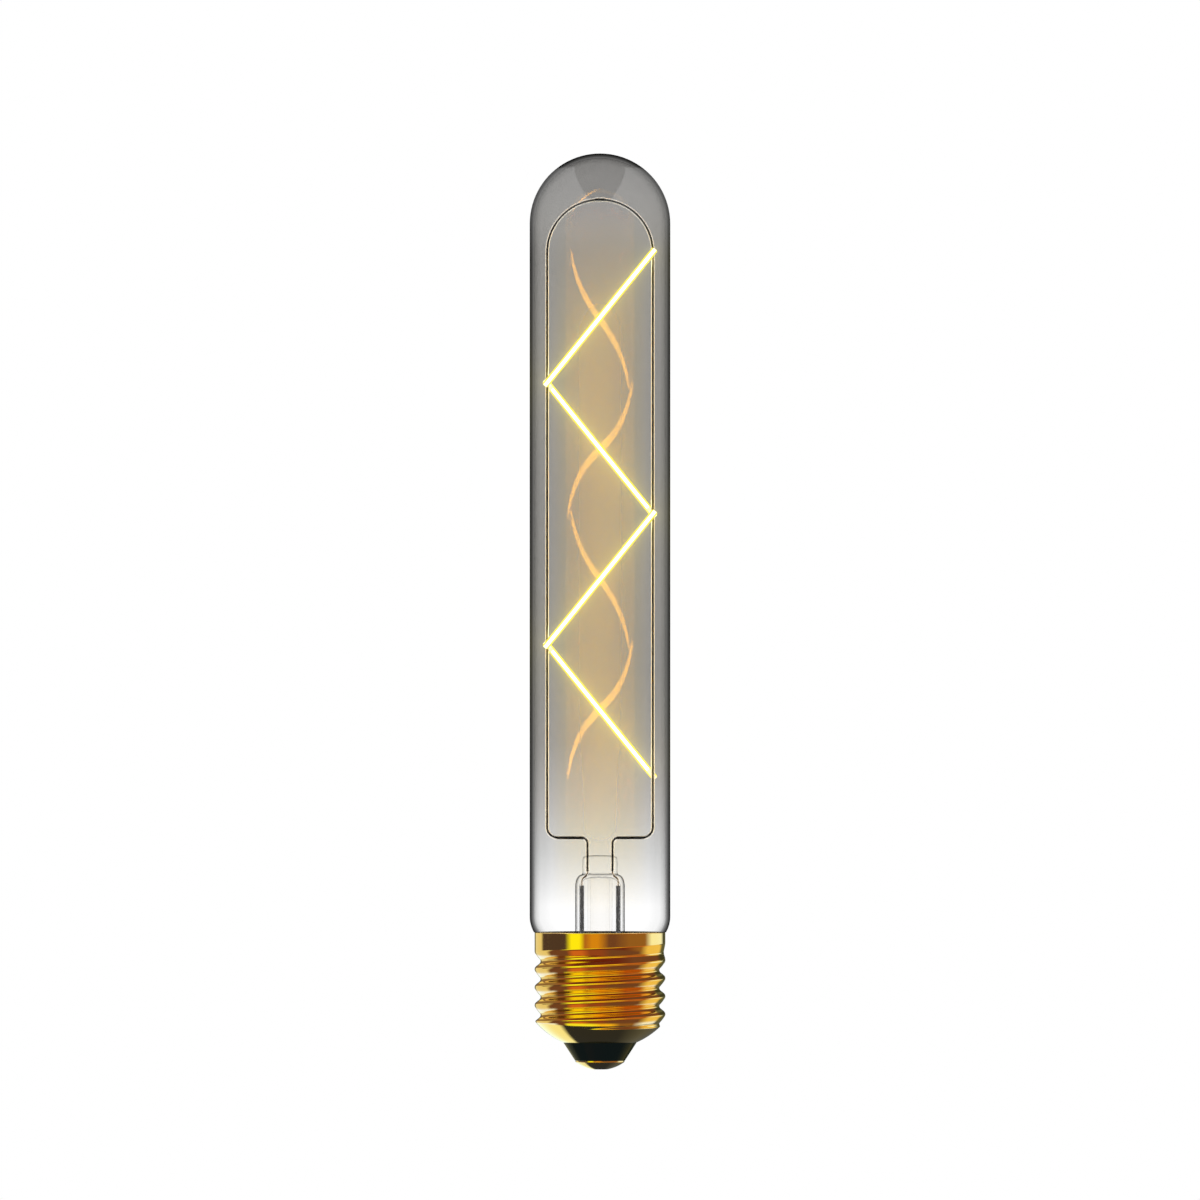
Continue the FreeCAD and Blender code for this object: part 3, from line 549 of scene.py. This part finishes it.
# Each ring of the pinch: its rise over the stem's top, what it adds to the pinch's half width and half
# thickness, and how square it is
PINCH_RINGS = [(-0.05, 0.12, 1.1, 3), (0.1, 0.02, 0.4, 4), (0.4, 0, 0.1, 5), (1.0, 0, 0, 6), (2.7, 0, 0, 6),
               (3.1, -0.04, -0.04, 6), (3.35, -0.2, -0.18, 5), (3.55, -0.6, -0.5, 4), (3.66, -1.4, -1.0, 3),
               (3.7, -2.5, -1.5, 2.5)]
HOLLOW_TOP_HEIGHT = 38.9
HOLLOW_SHOULDER = (2.6, 38.7)
HOLLOW_TOP_CURVE = 9.0
HOLLOW_SIDE_CURVE = 2.0
EXHAUST_TOP_HEIGHT = 38.6
EXHAUST_TIP_WALL = 1.0


def pressed_ring(z, half_x, half_y, power, segments=96):
    """A closed ring that is an ellipse at power 2 and squarer at a higher power."""
    points = []
    for i in range(segments):
        angle = 2 * math.pi * i / segments
        c, s = math.cos(angle), math.sin(angle)
        points.append((half_x * math.copysign(abs(c) ** (2 / power), c),
                       half_y * math.copysign(abs(s) ** (2 / power), s), z))
    return points


flare_line = outline((TAIL_RADIUS, STEM_FOOT_HEIGHT), [
    (TAIL_RADIUS, TAIL_END_HEIGHT),
    (TAIL_INNER_RADIUS, TAIL_END_HEIGHT),
    (STEM_RADIUS, FLARE_TOP_HEIGHT, FLARE_CURVE, -1),
    (STEM_RADIUS, SHOULDER_FOOT_HEIGHT),
])
stem_rings = [pressed_ring(z, radius, radius, 2) for radius, z in flare_line]
for share in SHOULDER_SHARES:
    angle = math.pi / 2 * share
    half = SHOULDER_TOP_RADIUS + (STEM_RADIUS - SHOULDER_TOP_RADIUS) * math.cos(angle)
    height = SHOULDER_START_HEIGHT + SHOULDER_RISE * math.sin(angle)
    stem_rings.append(pressed_ring(height, half, half - SHOULDER_FLATTENING * smooth(share), 2 + share))
for rise, wider, thicker, power in PINCH_RINGS:
    stem_rings.append(pressed_ring(STEM_TOP_HEIGHT + rise, PINCH_WIDTH / 2 + wider,
                                   PINCH_THICKNESS / 2 + thicker, power))
skin("stem_glass_skin", stem_rings, [stem_clear], ["stem_glass"])

hollow_line = outline((0.0, HOLLOW_TOP_HEIGHT), [
    (*HOLLOW_SHOULDER, HOLLOW_TOP_CURVE, -1),
    (STEM_INNER_RADIUS, SHOULDER_FOOT_HEIGHT, HOLLOW_SIDE_CURVE, -1),
    (STEM_INNER_RADIUS, FLARE_TOP_HEIGHT),
    (TAIL_INNER_RADIUS, STEM_FOOT_HEIGHT, FLARE_CURVE + STEM_WALL, 1),
])
lathe("stem_hollow_skin", hollow_line + [(TAIL_RADIUS, STEM_FOOT_HEIGHT)], [hollow_clear],
      [], segments=96, closed=False)

exhaust_bore_radius = EXHAUST_RADIUS - EXHAUST_WALL
exhaust_straight_height = EXHAUST_TIP_HEIGHT + EXHAUST_TIP_LENGTH
lathe("exhaust_tube_skin", outline((0, EXHAUST_TIP_HEIGHT), [
    (EXHAUST_TIP_RADIUS, EXHAUST_TIP_HEIGHT),
    (EXHAUST_RADIUS, exhaust_straight_height),
    (EXHAUST_RADIUS, EXHAUST_TOP_HEIGHT),
    (exhaust_bore_radius, EXHAUST_TOP_HEIGHT),
    (exhaust_bore_radius, exhaust_straight_height),
    (0, EXHAUST_TIP_HEIGHT + EXHAUST_TIP_WALL),
]), [exhaust_clear], ["exhaust_tube"], segments=64, closed=False)


# Frame wires: two halves of round wire, each bent in the plane of the frame


def wire_rings(path, side, segments=24):
    """Rings along a path of (x, z) points. Side is 1, or -1 for the same wire turned half round Z."""
    points = [Vector(point) for point in path]
    rings = []
    for row, point in enumerate(points):
        along = points[min(row + 1, len(points) - 1)] - points[max(row - 1, 0)]
        across = Vector((along.y, -along.x)).normalized()
        ring = []
        for i in range(segments):
            angle = 2 * math.pi * i / segments
            reach = WIRE_RADIUS * math.cos(angle)
            ring.append((side * (point.x + across.x * reach), side * WIRE_RADIUS * math.sin(angle),
                         point.y + across.y * reach))
        rings.append(ring)
    return rings


arch_end_drop = RAIL_OFFSET - math.sqrt(RAIL_OFFSET**2 - (APEX_GAP / 2) ** 2)
wire_path = outline((DROP_OFFSET, WELD_HEIGHT), [
    (DROP_OFFSET, CROSSBAR_HEIGHT - DROP_BEND_RADIUS),
    (DROP_OFFSET + DROP_BEND_RADIUS, CROSSBAR_HEIGHT, DROP_BEND_RADIUS, -1),
    (RAIL_OFFSET - RAIL_BEND_RADIUS, CROSSBAR_HEIGHT),
    (RAIL_OFFSET, CROSSBAR_HEIGHT + RAIL_BEND_RADIUS, RAIL_BEND_RADIUS, 1),
    (RAIL_OFFSET, ARCH_HEIGHT),
    (APEX_GAP / 2, ARCH_HEIGHT + RAIL_OFFSET - arch_end_drop, RAIL_OFFSET, 1),
])
for hand, side in (("right", 1), ("left", -1)):
    skin(f"frame_wire_{hand}_skin", wire_rings(wire_path, side), [frame_metal],
         [f"frame_wire_{hand}"])


# Screw shell: the rolled round thread, with its run-out into the collar


SHELL_SEGMENTS = 360
SHELL_ROWS = 235
# How steep the flank under a crest is, from its crest at 0 to its root at 1
UNDER_SLOPES = [(0, 0), (0.16, 0.6), (0.88, 0.93), (1, 0)]
BOWL_BLEND = 0.35
RIM_EDGE_DROP = 0.08
# The rim's rounded edge: how far in from the crest's radius each point is, and how far under the rim
RIM_EDGE = [(0.03, 0.02), (0.09, 0)]


def bowl_radius_at(z):
    """The bowl's outside radius at a height. Above its centre nothing limits the thread."""
    drop = BOWL_CENTRE_HEIGHT - z
    if drop <= 0:
        return math.inf
    return BOWL_CENTRE_RADIUS + math.sqrt(max(BOWL_RADIUS**2 - drop**2, 0))


def bowl_inside_height(radius):
    """How high the bowl's inside is at a radius."""
    return BOWL_CENTRE_HEIGHT - math.sqrt(BOWL_INNER_RADIUS**2 - (radius - BOWL_CENTRE_RADIUS) ** 2)


def soft_min(a, b, width):
    """The smaller of two values, with a soft change between them."""
    share = max(width - abs(a - b), 0) / width
    return min(a, b) - share * share * width / 4


def travelled(share, slopes):
    """How far a flank has come at a share of its length, when its slope follows (share, slope) stops."""
    total = 0
    for (start, low), (end, high) in zip(slopes, slopes[1:]):
        part = min(max(share - start, 0), end - start)
        total += part * (low + (high - low) * part / (end - start) / 2)
    return total


def thread_height(place):
    """From 0 at a root to 1 at a crest, by the place from -0.5 to 0.5 between two crests."""
    if place > 0:
        return 1 - travelled(1 - 2 * place, UNDER_SLOPES) / travelled(1, UNDER_SLOPES)
    share = -2 * place
    return share - math.sin(2 * math.pi * share) / (2 * math.pi)


def shell_radius(angle, z):
    """The shell's outside radius: the thread fades out towards the collar and gives way to the bowl."""
    turns = angle / (2 * math.pi)
    place = (z - GROOVE_HEIGHT) / THREAD_PITCH - turns
    nearest = round(place)
    along = nearest + turns
    depth = 1 - smooth((along - (GROOVE_TURNS_ABOVE - GROOVE_FADE_TURNS)) / GROOVE_FADE_TURNS)
    thread = CREST_RADIUS - THREAD_DEPTH * depth * (1 - thread_height(place - nearest))
    return soft_min(thread, bowl_radius_at(z), BOWL_BLEND)


def shell_ring(z):
    ring = []
    for i in range(SHELL_SEGMENTS):
        angle = 2 * math.pi * i / SHELL_SEGMENTS
        radius = shell_radius(angle if angle <= math.pi else angle - 2 * math.pi, z)
        ring.append((radius * math.cos(angle), radius * math.sin(angle), z))
    return ring


# Where the inside of the bowl meets the mouth's cut edge
mouth_share = BOWL_INNER_RADIUS / BOWL_RADIUS
mouth_inside = (BOWL_CENTRE_RADIUS + (MOUTH_RADIUS - BOWL_CENTRE_RADIUS) * mouth_share,
                BOWL_CENTRE_HEIGHT - (BOWL_CENTRE_HEIGHT - MOUTH_HEIGHT) * mouth_share)
shell_rise = RIM_HEIGHT - RIM_EDGE_DROP - MOUTH_HEIGHT
shell_rings = [shell_ring(MOUTH_HEIGHT + shell_rise * row / SHELL_ROWS) for row in range(SHELL_ROWS + 1)]
bore_foot = (BORE_RADIUS, bowl_inside_height(BORE_RADIUS))
rim_and_inside = [(CREST_RADIUS - inset, RIM_HEIGHT - drop) for inset, drop in RIM_EDGE] + [
    (COLLAR_INNER_RADIUS, RIM_HEIGHT),
    (COLLAR_INNER_RADIUS, COLLAR_INSIDE_HEIGHT),
    (BORE_RADIUS, COLLAR_INSIDE_HEIGHT - THREAD_DEPTH),
    bore_foot,
] + arc_points(bore_foot, mouth_inside, BOWL_INNER_RADIUS, -1)
shell_rings += [circle(radius, z, SHELL_SEGMENTS) for radius, z in rim_and_inside]
skin("screw_shell_skin", shell_rings, [cap_brass], ["screw_shell"], sharp=50.0, closed=True)


# Insulator and contact


FOOT_EDGE_RISE = 0.11
FOOT_EDGE_CURVE = 0.16
CONE_TOP = (7.3, 5.25)
CONE_EDGE = (7.42, 5.44)
CONE_EDGE_CURVE = 0.8
CONTACT_EDGE = (4.86, 1.42)
CONTACT_EDGE_HEIGHT = 1.56
CONTACT_EDGE_CURVE = 0.14
insulator_foot_radius = CONTACT_RADIUS + INSULATOR_FOOT_MARGIN
rim_foot_height = bowl_inside_height(INSULATOR_RIM_RADIUS)
lathe("cap_insulator_skin", outline((SHANK_RADIUS, CONTACT_BACK_HEIGHT), [
    (CONTACT_RADIUS, CONTACT_BACK_HEIGHT),
    (insulator_foot_radius, CONTACT_BACK_HEIGHT + FOOT_EDGE_RISE, FOOT_EDGE_CURVE, 1),
    CONE_TOP,
    (*CONE_EDGE, CONE_EDGE_CURVE, -1),
    mouth_inside,
    (INSULATOR_RIM_RADIUS, rim_foot_height, BOWL_INNER_RADIUS, 1),
    (INSULATOR_RIM_RADIUS - (INSULATOR_RIM_HEIGHT - rim_foot_height), INSULATOR_RIM_HEIGHT),
    (INSULATOR_DISH_RADIUS, INSULATOR_RIM_HEIGHT),
    (INSULATOR_FLOOR_RADIUS, INSULATOR_FLOOR_HEIGHT),
    (SHANK_RADIUS, INSULATOR_FLOOR_HEIGHT),
]), [black_glass], ["cap_insulator"], segments=160)

# The dome's circle passes through the edge of its flat tip and through its rim
dome_centre = (CONTACT_RADIUS**2 + CONTACT_RISE**2 - CONTACT_FLAT_RADIUS**2) / (2 * CONTACT_RISE)
dome_radius = math.sqrt(CONTACT_FLAT_RADIUS**2 + dome_centre**2)
contact = lathe("centre_contact_skin", outline((0, 0), [
    (CONTACT_FLAT_RADIUS, 0),
    (*CONTACT_EDGE, dome_radius, 1),
    (CONTACT_RADIUS, CONTACT_EDGE_HEIGHT, CONTACT_EDGE_CURVE, 1),
    (CONTACT_RADIUS, CONTACT_BACK_HEIGHT),
    (SHANK_RADIUS, CONTACT_BACK_HEIGHT),
    (SHANK_RADIUS, INSULATOR_FLOOR_HEIGHT),
    (SHANK_RADIUS + SHANK_FLANGE_WIDTH, INSULATOR_FLOOR_HEIGHT),
    (SHANK_RADIUS + SHANK_FLANGE_WIDTH, INSULATOR_FLOOR_HEIGHT + SHANK_FLANGE_HEIGHT),
    (SHANK_BORE_RADIUS, INSULATOR_FLOOR_HEIGHT + SHANK_FLANGE_HEIGHT),
    (SHANK_BORE_RADIUS, CONTACT_SHEET),
    (0, CONTACT_SHEET),
]), [contact_brass], ["centre_contact"], segments=128, closed=False)
# The polished bowl above it would mirror the contact's lip as a row of specks
contact.visible_glossy = False


# Light sticks and the other nodes that keep their own meshes


PHOSPHOR_STRENGTH = 7.5
STICK_LIGHT = (1.0, 0.88, 0.56)
# Light across a stick's front, from its middle at 0 to its edge at 1
STICK_LIGHTS = [(0.0, STICK_LIGHT), (0.52, (1.0, 0.84, 0.45)), (0.6, (0.27, 0.235, 0.008)),
                (1.0, (0.23, 0.19, 0.006))]
STICK_SIDE_DEPTH = 0.1
FINISHES = {
    "seal_wire_": lead_metal,
    "outer_lead_": lead_metal,
    "neutral_lead": lead_metal,
    "lead_sleeve_": sleeve_painted_glow,
    "apex_insulator": frame_metal,
    "capping_cement": cement,
    "driver_board": board_green,
    "bridge_rectifier": package_resin,
    "driver_chip": package_resin,
    "smoothing_capacitor": can_metal,
    "fuse_resistor": lacquer,
    "sense_resistor": lacquer,
}


def lit_phosphor(name, centre, lean):
    """A light stick: white hot along the middle of its front, dim olive at that side's edges, and evenly
    lit behind."""
    made, net, shader = shaded_material(name, Base_Color=(0.9, 0.55, 0.1), Roughness=0.5,
                                        Emission_Strength=PHOSPHOR_STRENGTH)
    own = net.node("ShaderNodeMapping", Vector=net.place(), Location=centre, Rotation=(0, lean, 0))
    own.vector_type = "TEXTURE"
    split = net.node("ShaderNodeSeparateXYZ", Vector=own.outputs["Vector"])
    share = net.mapped(net.maths("ABSOLUTE", split.outputs["X"]), 0, STICK_WIDTH / 2 * MM)
    behind = net.mapped(split.outputs["Y"], -STICK_SIDE_DEPTH * MM, STICK_SIDE_DEPTH * MM)
    net.put(shader.inputs["Emission Color"], net.mix(net.ramp(share, STICK_LIGHTS), STICK_LIGHT, behind))
    return made


def middle_of(name):
    low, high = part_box(name)
    return [(a + b) / 2 for a, b in zip(low, high)]


def stick_finish(name):
    """The sticks run from rail to rail, and they lean to the right and to the left by turns."""
    step = middle_of("filament_1")[2] - middle_of("filament_2")[2]
    lean = math.atan2(2 * RAIL_OFFSET * MM, step)
    return lit_phosphor("lit_" + name, middle_of(name), lean if int(name[-1]) % 2 else -lean)


for name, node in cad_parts.items():
    finish = next((mat for start, mat in FINISHES.items() if name.startswith(start)), None)
    if name.startswith("filament_"):
        finish = tab_metal if name.endswith("_tab") else stick_finish(name)
    if finish is not None:
        for place in node.material_slots:
            place.material = finish


# Floor: plain white, seen by the camera alone. Its sizes are in metres.


FLOOR_HALF = 2.5
FLOOR_HEIGHT = -0.0005
floor_mesh = bpy.data.meshes.new("floor")
floor_mesh.from_pydata([(x * FLOOR_HALF, y * FLOOR_HALF, FLOOR_HEIGHT)
                        for x, y in ((-1, -1), (1, -1), (1, 1), (-1, 1))], [], [(0, 1, 2, 3)])
floor = bpy.data.objects.new("floor", floor_mesh)
scene.collection.objects.link(floor)
floor_white, floor_net, floor_surface = bare_material("pale_floor")
floor_net.put(floor_surface, floor_net.lobe("ShaderNodeEmission", WHITE))
floor_mesh.materials.append(floor_white)
floor.visible_glossy = False
floor.visible_diffuse = False
floor.visible_shadow = False


# Studio: white behind what is seen or seen through, and soft boxes for what is mirrored


world = bpy.data.worlds.new("studio")
scene.world = world
studio = Network(world)
studio.nodes.clear()
studio_out = studio.node("ShaderNodeOutputWorld").inputs["Surface"]
generated = studio.node("ShaderNodeTexCoord").outputs["Generated"]
direction = studio.node("ShaderNodeSeparateXYZ", Vector=generated)
# Keeps the angles defined for the direction straight to the back
SMALLEST = 0.0001

# Each direction is named by the face that mirrors it to the front: how far that face is turned to the
# right, and how far it is tilted up. Both are in radians, and the share of each runs from 0 at -90
# degrees to 1 at 90 degrees.
depth = studio.maths("SUBTRACT", 1.0, direction.outputs["Y"])
turned = studio.maths("ARCTAN2", direction.outputs["X"], studio.maths("MAXIMUM", depth, SMALLEST))
turn_share = studio.maths("ADD", studio.maths("MULTIPLY", turned, 1 / math.pi), 0.5)
doubled = studio.maths("MAXIMUM", studio.maths("MULTIPLY", depth, 2.0), SMALLEST)
tilt_sine = studio.maths("DIVIDE", direction.outputs["Z"], studio.maths("SQRT", doubled))
tilted = studio.maths("ARCSINE", studio.maths("MINIMUM", studio.maths("MAXIMUM", tilt_sine, -1.0), 1.0))
tilt_share = studio.maths("ADD", studio.maths("MULTIPLY", tilted, 1 / math.pi), 0.5)


def at(degrees):
    """The share from 0 to 1 that stands for a turn or a tilt."""
    return (degrees + 90) / 180


def banded(edges):
    """Bands of light from left to right, each given as (where it ends, how soft that end is, colour)."""
    stops = [(0.0, edges[0][2])]
    for (end, blur, colour), (_, _, following) in zip(edges, edges[1:]):
        stops += [(at(end - blur), colour), (at(end + blur), following)]
    return studio.ramp(turn_share, stops)


GOLD = (0.86, 0.81, 0.48)
DARK = (0.081, 0.056, 0.06)
YELLOW = (1.1, 1.2, 0.02)
RUST = (0.46, 0.19, 0.035)
ORANGE = (0.72, 0.34, 0.02)
UMBER = (0.17, 0.076, 0.05)
BROWN = (0.31, 0.155, 0.045)
CREAM = (1.05, 1.23, 1.2)
OLIVE = (0.05, 0.055, 0.03)
KHAKI = (0.12, 0.13, 0.07)
BRONZE = (0.285, 0.19, 0.1)
GILT = (0.94, 0.74, 0.21)
IVORY = (1.0, 1.22, 1.75)
STRAW = (1.04, 1.12, 0.75)
RUSSET = (0.3, 0.08, 0.035)
LEMON = (1.09, 1.22, 0.06)
AMBER = (1.09, 0.72, 0.03)
COPPER = (0.65, 0.18, 0.035)
PEARL = (1.05, 1.3, 1.2)
MAROON = (0.15, 0.028, 0.02)
SHADOW = (0.03, 0.034, 0.045)
TAUPE = (0.11, 0.12, 0.12)

lowest = banded([(-82, 3, KHAKI), (-60, 8, PEARL), (-38, 3, STRAW), (38, 16, SHADOW), (90, 0, TAUPE)])
steep = banded([(-80, 2, GOLD), (-43, 3, IVORY), (-32, 2, UMBER), (-2, 5, LEMON), (16, 5, AMBER),
                (40, 6, BROWN), (64, 3, IVORY), (90, 0, KHAKI)])
below = banded([(-80, 2, OLIVE), (-52, 3, GOLD), (-27, 3, UMBER), (-12, 4, COPPER), (6, 5, RUSSET),
                (44, 6, UMBER), (66, 3, GILT), (90, 0, KHAKI)])
seam = banded([(-80, 2, OLIVE), (-50, 3, GOLD), (-30, 3, UMBER), (30, 8, MAROON), (44, 4, BROWN),
               (70, 3, GILT), (90, 0, KHAKI)])
crest = banded([(-80, 2, OLIVE), (-48, 3, GOLD), (-34, 4, UMBER), (-4, 5, LEMON), (20, 6, AMBER),
                (48, 6, COPPER), (66, 3, GILT), (90, 0, KHAKI)])
level = banded([(-80, 2, OLIVE), (-62, 2, GOLD), (-29, 3, DARK), (-16, 2.5, YELLOW), (-10, 3, RUST),
                (3, 5, ORANGE), (20, 7, UMBER), (48, 4, BROWN), (72, 3, CREAM), (90, 0, OLIVE)])
above = banded([(-80, 2, OLIVE), (-40, 8, BRONZE), (-27, 4, RUSSET), (22, 8, MAROON), (46, 4, UMBER),
                (64, 4, UMBER), (90, 0, OLIVE)])
high = banded([(-80, 2, OLIVE), (-50, 3, GILT), (-29, 3, BROWN), (-8, 5, LEMON), (18, 5, ORANGE),
               (42, 4, BROWN), (60, 3, GILT), (90, 0, KHAKI)])

# From the lowest tilt up: where the next bands start, how soft that start is, and the bands
boxes = lowest
for start, blur, bands in (
    (-42.7, 0.7, steep),
    (-38.5, 2.5, below),
    (-24, 2, seam),
    (-9, 2, crest),
    (-3, 1, level),
    (3, 1, crest),
    (10, 2, above),
    (47.5, 2, high),
):
    begun = studio.mapped(tilt_share, at(start - blur), at(start + blur), kind="SMOOTHSTEP")
    boxes = studio.mix(boxes, bands, begun)

# What the polished glass mirrors: pale sides, and between them a dark gap that widens upwards into a
# dark top
GAP_WIDENING = 0.8
GAP_FOOT = math.radians(12.5)
GAP_TOP = math.radians(47)
GAP_EDGE = (math.radians(-8), math.radians(-5))
widening = studio.maths("MULTIPLY", tilted, GAP_WIDENING)
gap = studio.maths("SUBTRACT", studio.maths("ABSOLUTE", turned), widening)
gap = studio.maths("MAXIMUM", gap, studio.maths("SUBTRACT", GAP_FOOT, tilted))
gap = studio.maths("MINIMUM", gap, studio.maths("SUBTRACT", GAP_TOP, tilted))
panels = studio.mix(BLACK, WHITE, studio.mapped(gap, *GAP_EDGE, kind="SMOOTHSTEP"))

# What the wires inside the tube mirror, from the front at 0 to the back at 1
front_to_back = studio.maths("ADD", studio.maths("MULTIPLY", direction.outputs["Y"], 0.5), 0.5)
beside = studio.ramp(front_to_back, [
    (0.0, 0.01),
    (0.22, 0.01),
    (0.29, (4.2, 4.2, 4.1)),
    (0.4, (4.2, 4.2, 4.1)),
    (0.46, (2.8, 2.8, 2.75)),
    (1.0, (2.8, 2.8, 2.75)),
])
INSIDE_PANELS = (0.1, 0.1, 0.1)
OUTSIDE_FILL = (0.35, 0.35, 0.35)
path = studio.node("ShaderNodeLightPath")
enclosed = studio.maths("GREATER_THAN", path.outputs["Transparent Depth"], 0.5)
polished = path.outputs["Is Singular Ray"]
scattered = path.outputs["Is Diffuse Ray"]
from_inside = studio.mix(studio.mix(beside, INSIDE_PANELS, polished), BLACK, scattered)
from_outside = studio.mix(studio.mix(boxes, panels, polished), OUTSIDE_FILL, scattered)
mirrored = studio.mix(from_outside, from_inside, enclosed)
shown = studio.mix(mirrored, WHITE, path.outputs["Is Camera Ray"])
studio.put(studio_out, studio.lobe("ShaderNodeBackground", shown))

scene.view_settings.view_transform = "Standard"
scene.view_settings.look = "None"
scene.cycles.max_bounces = 16
scene.cycles.glossy_bounces = 8
scene.cycles.transparent_max_bounces = 32
scene.cycles.caustics_reflective = False


# Halo: a soft glow round what is brighter than the background


halo = Network(scene)
halo.nodes.clear()
layers = halo.node("CompositorNodeRLayers")
glare = halo.node("CompositorNodeGlare")
glare.glare_type = "BLOOM"
glare.quality = "HIGH"
halo.fill(glare, {
    "Image": layers.outputs["Image"],
    "Threshold": 1.3,
    "Smoothness": 0.0,
    "Clamp": True,
    "Maximum": 4.0,
    "Strength": 0.9,
    "Size": 0.12,
    "Tint": (1.0, 0.98, 0.1),
})
halo.node("CompositorNodeComposite", Image=glare.outputs["Image"])


# Camera: level, straight from the front, with a long lens. Its distances are in metres.


CAMERA_DISTANCE = 4.0
CAMERA_HEIGHT = 94.8 * MM
FRAME_WIDTH = 242.4 * MM
SENSOR_WIDTH = 36.0
camera_data = bpy.data.cameras.new("camera")
camera_data.sensor_width = SENSOR_WIDTH
camera_data.lens = SENSOR_WIDTH * CAMERA_DISTANCE / FRAME_WIDTH
camera_data.clip_start = 0.1
camera_data.clip_end = 20
camera = bpy.data.objects.new("camera", camera_data)
camera.location = (0, -CAMERA_DISTANCE, CAMERA_HEIGHT)
camera.rotation_euler = (math.radians(90), 0, 0)
scene.collection.objects.link(camera)
scene.camera = camera
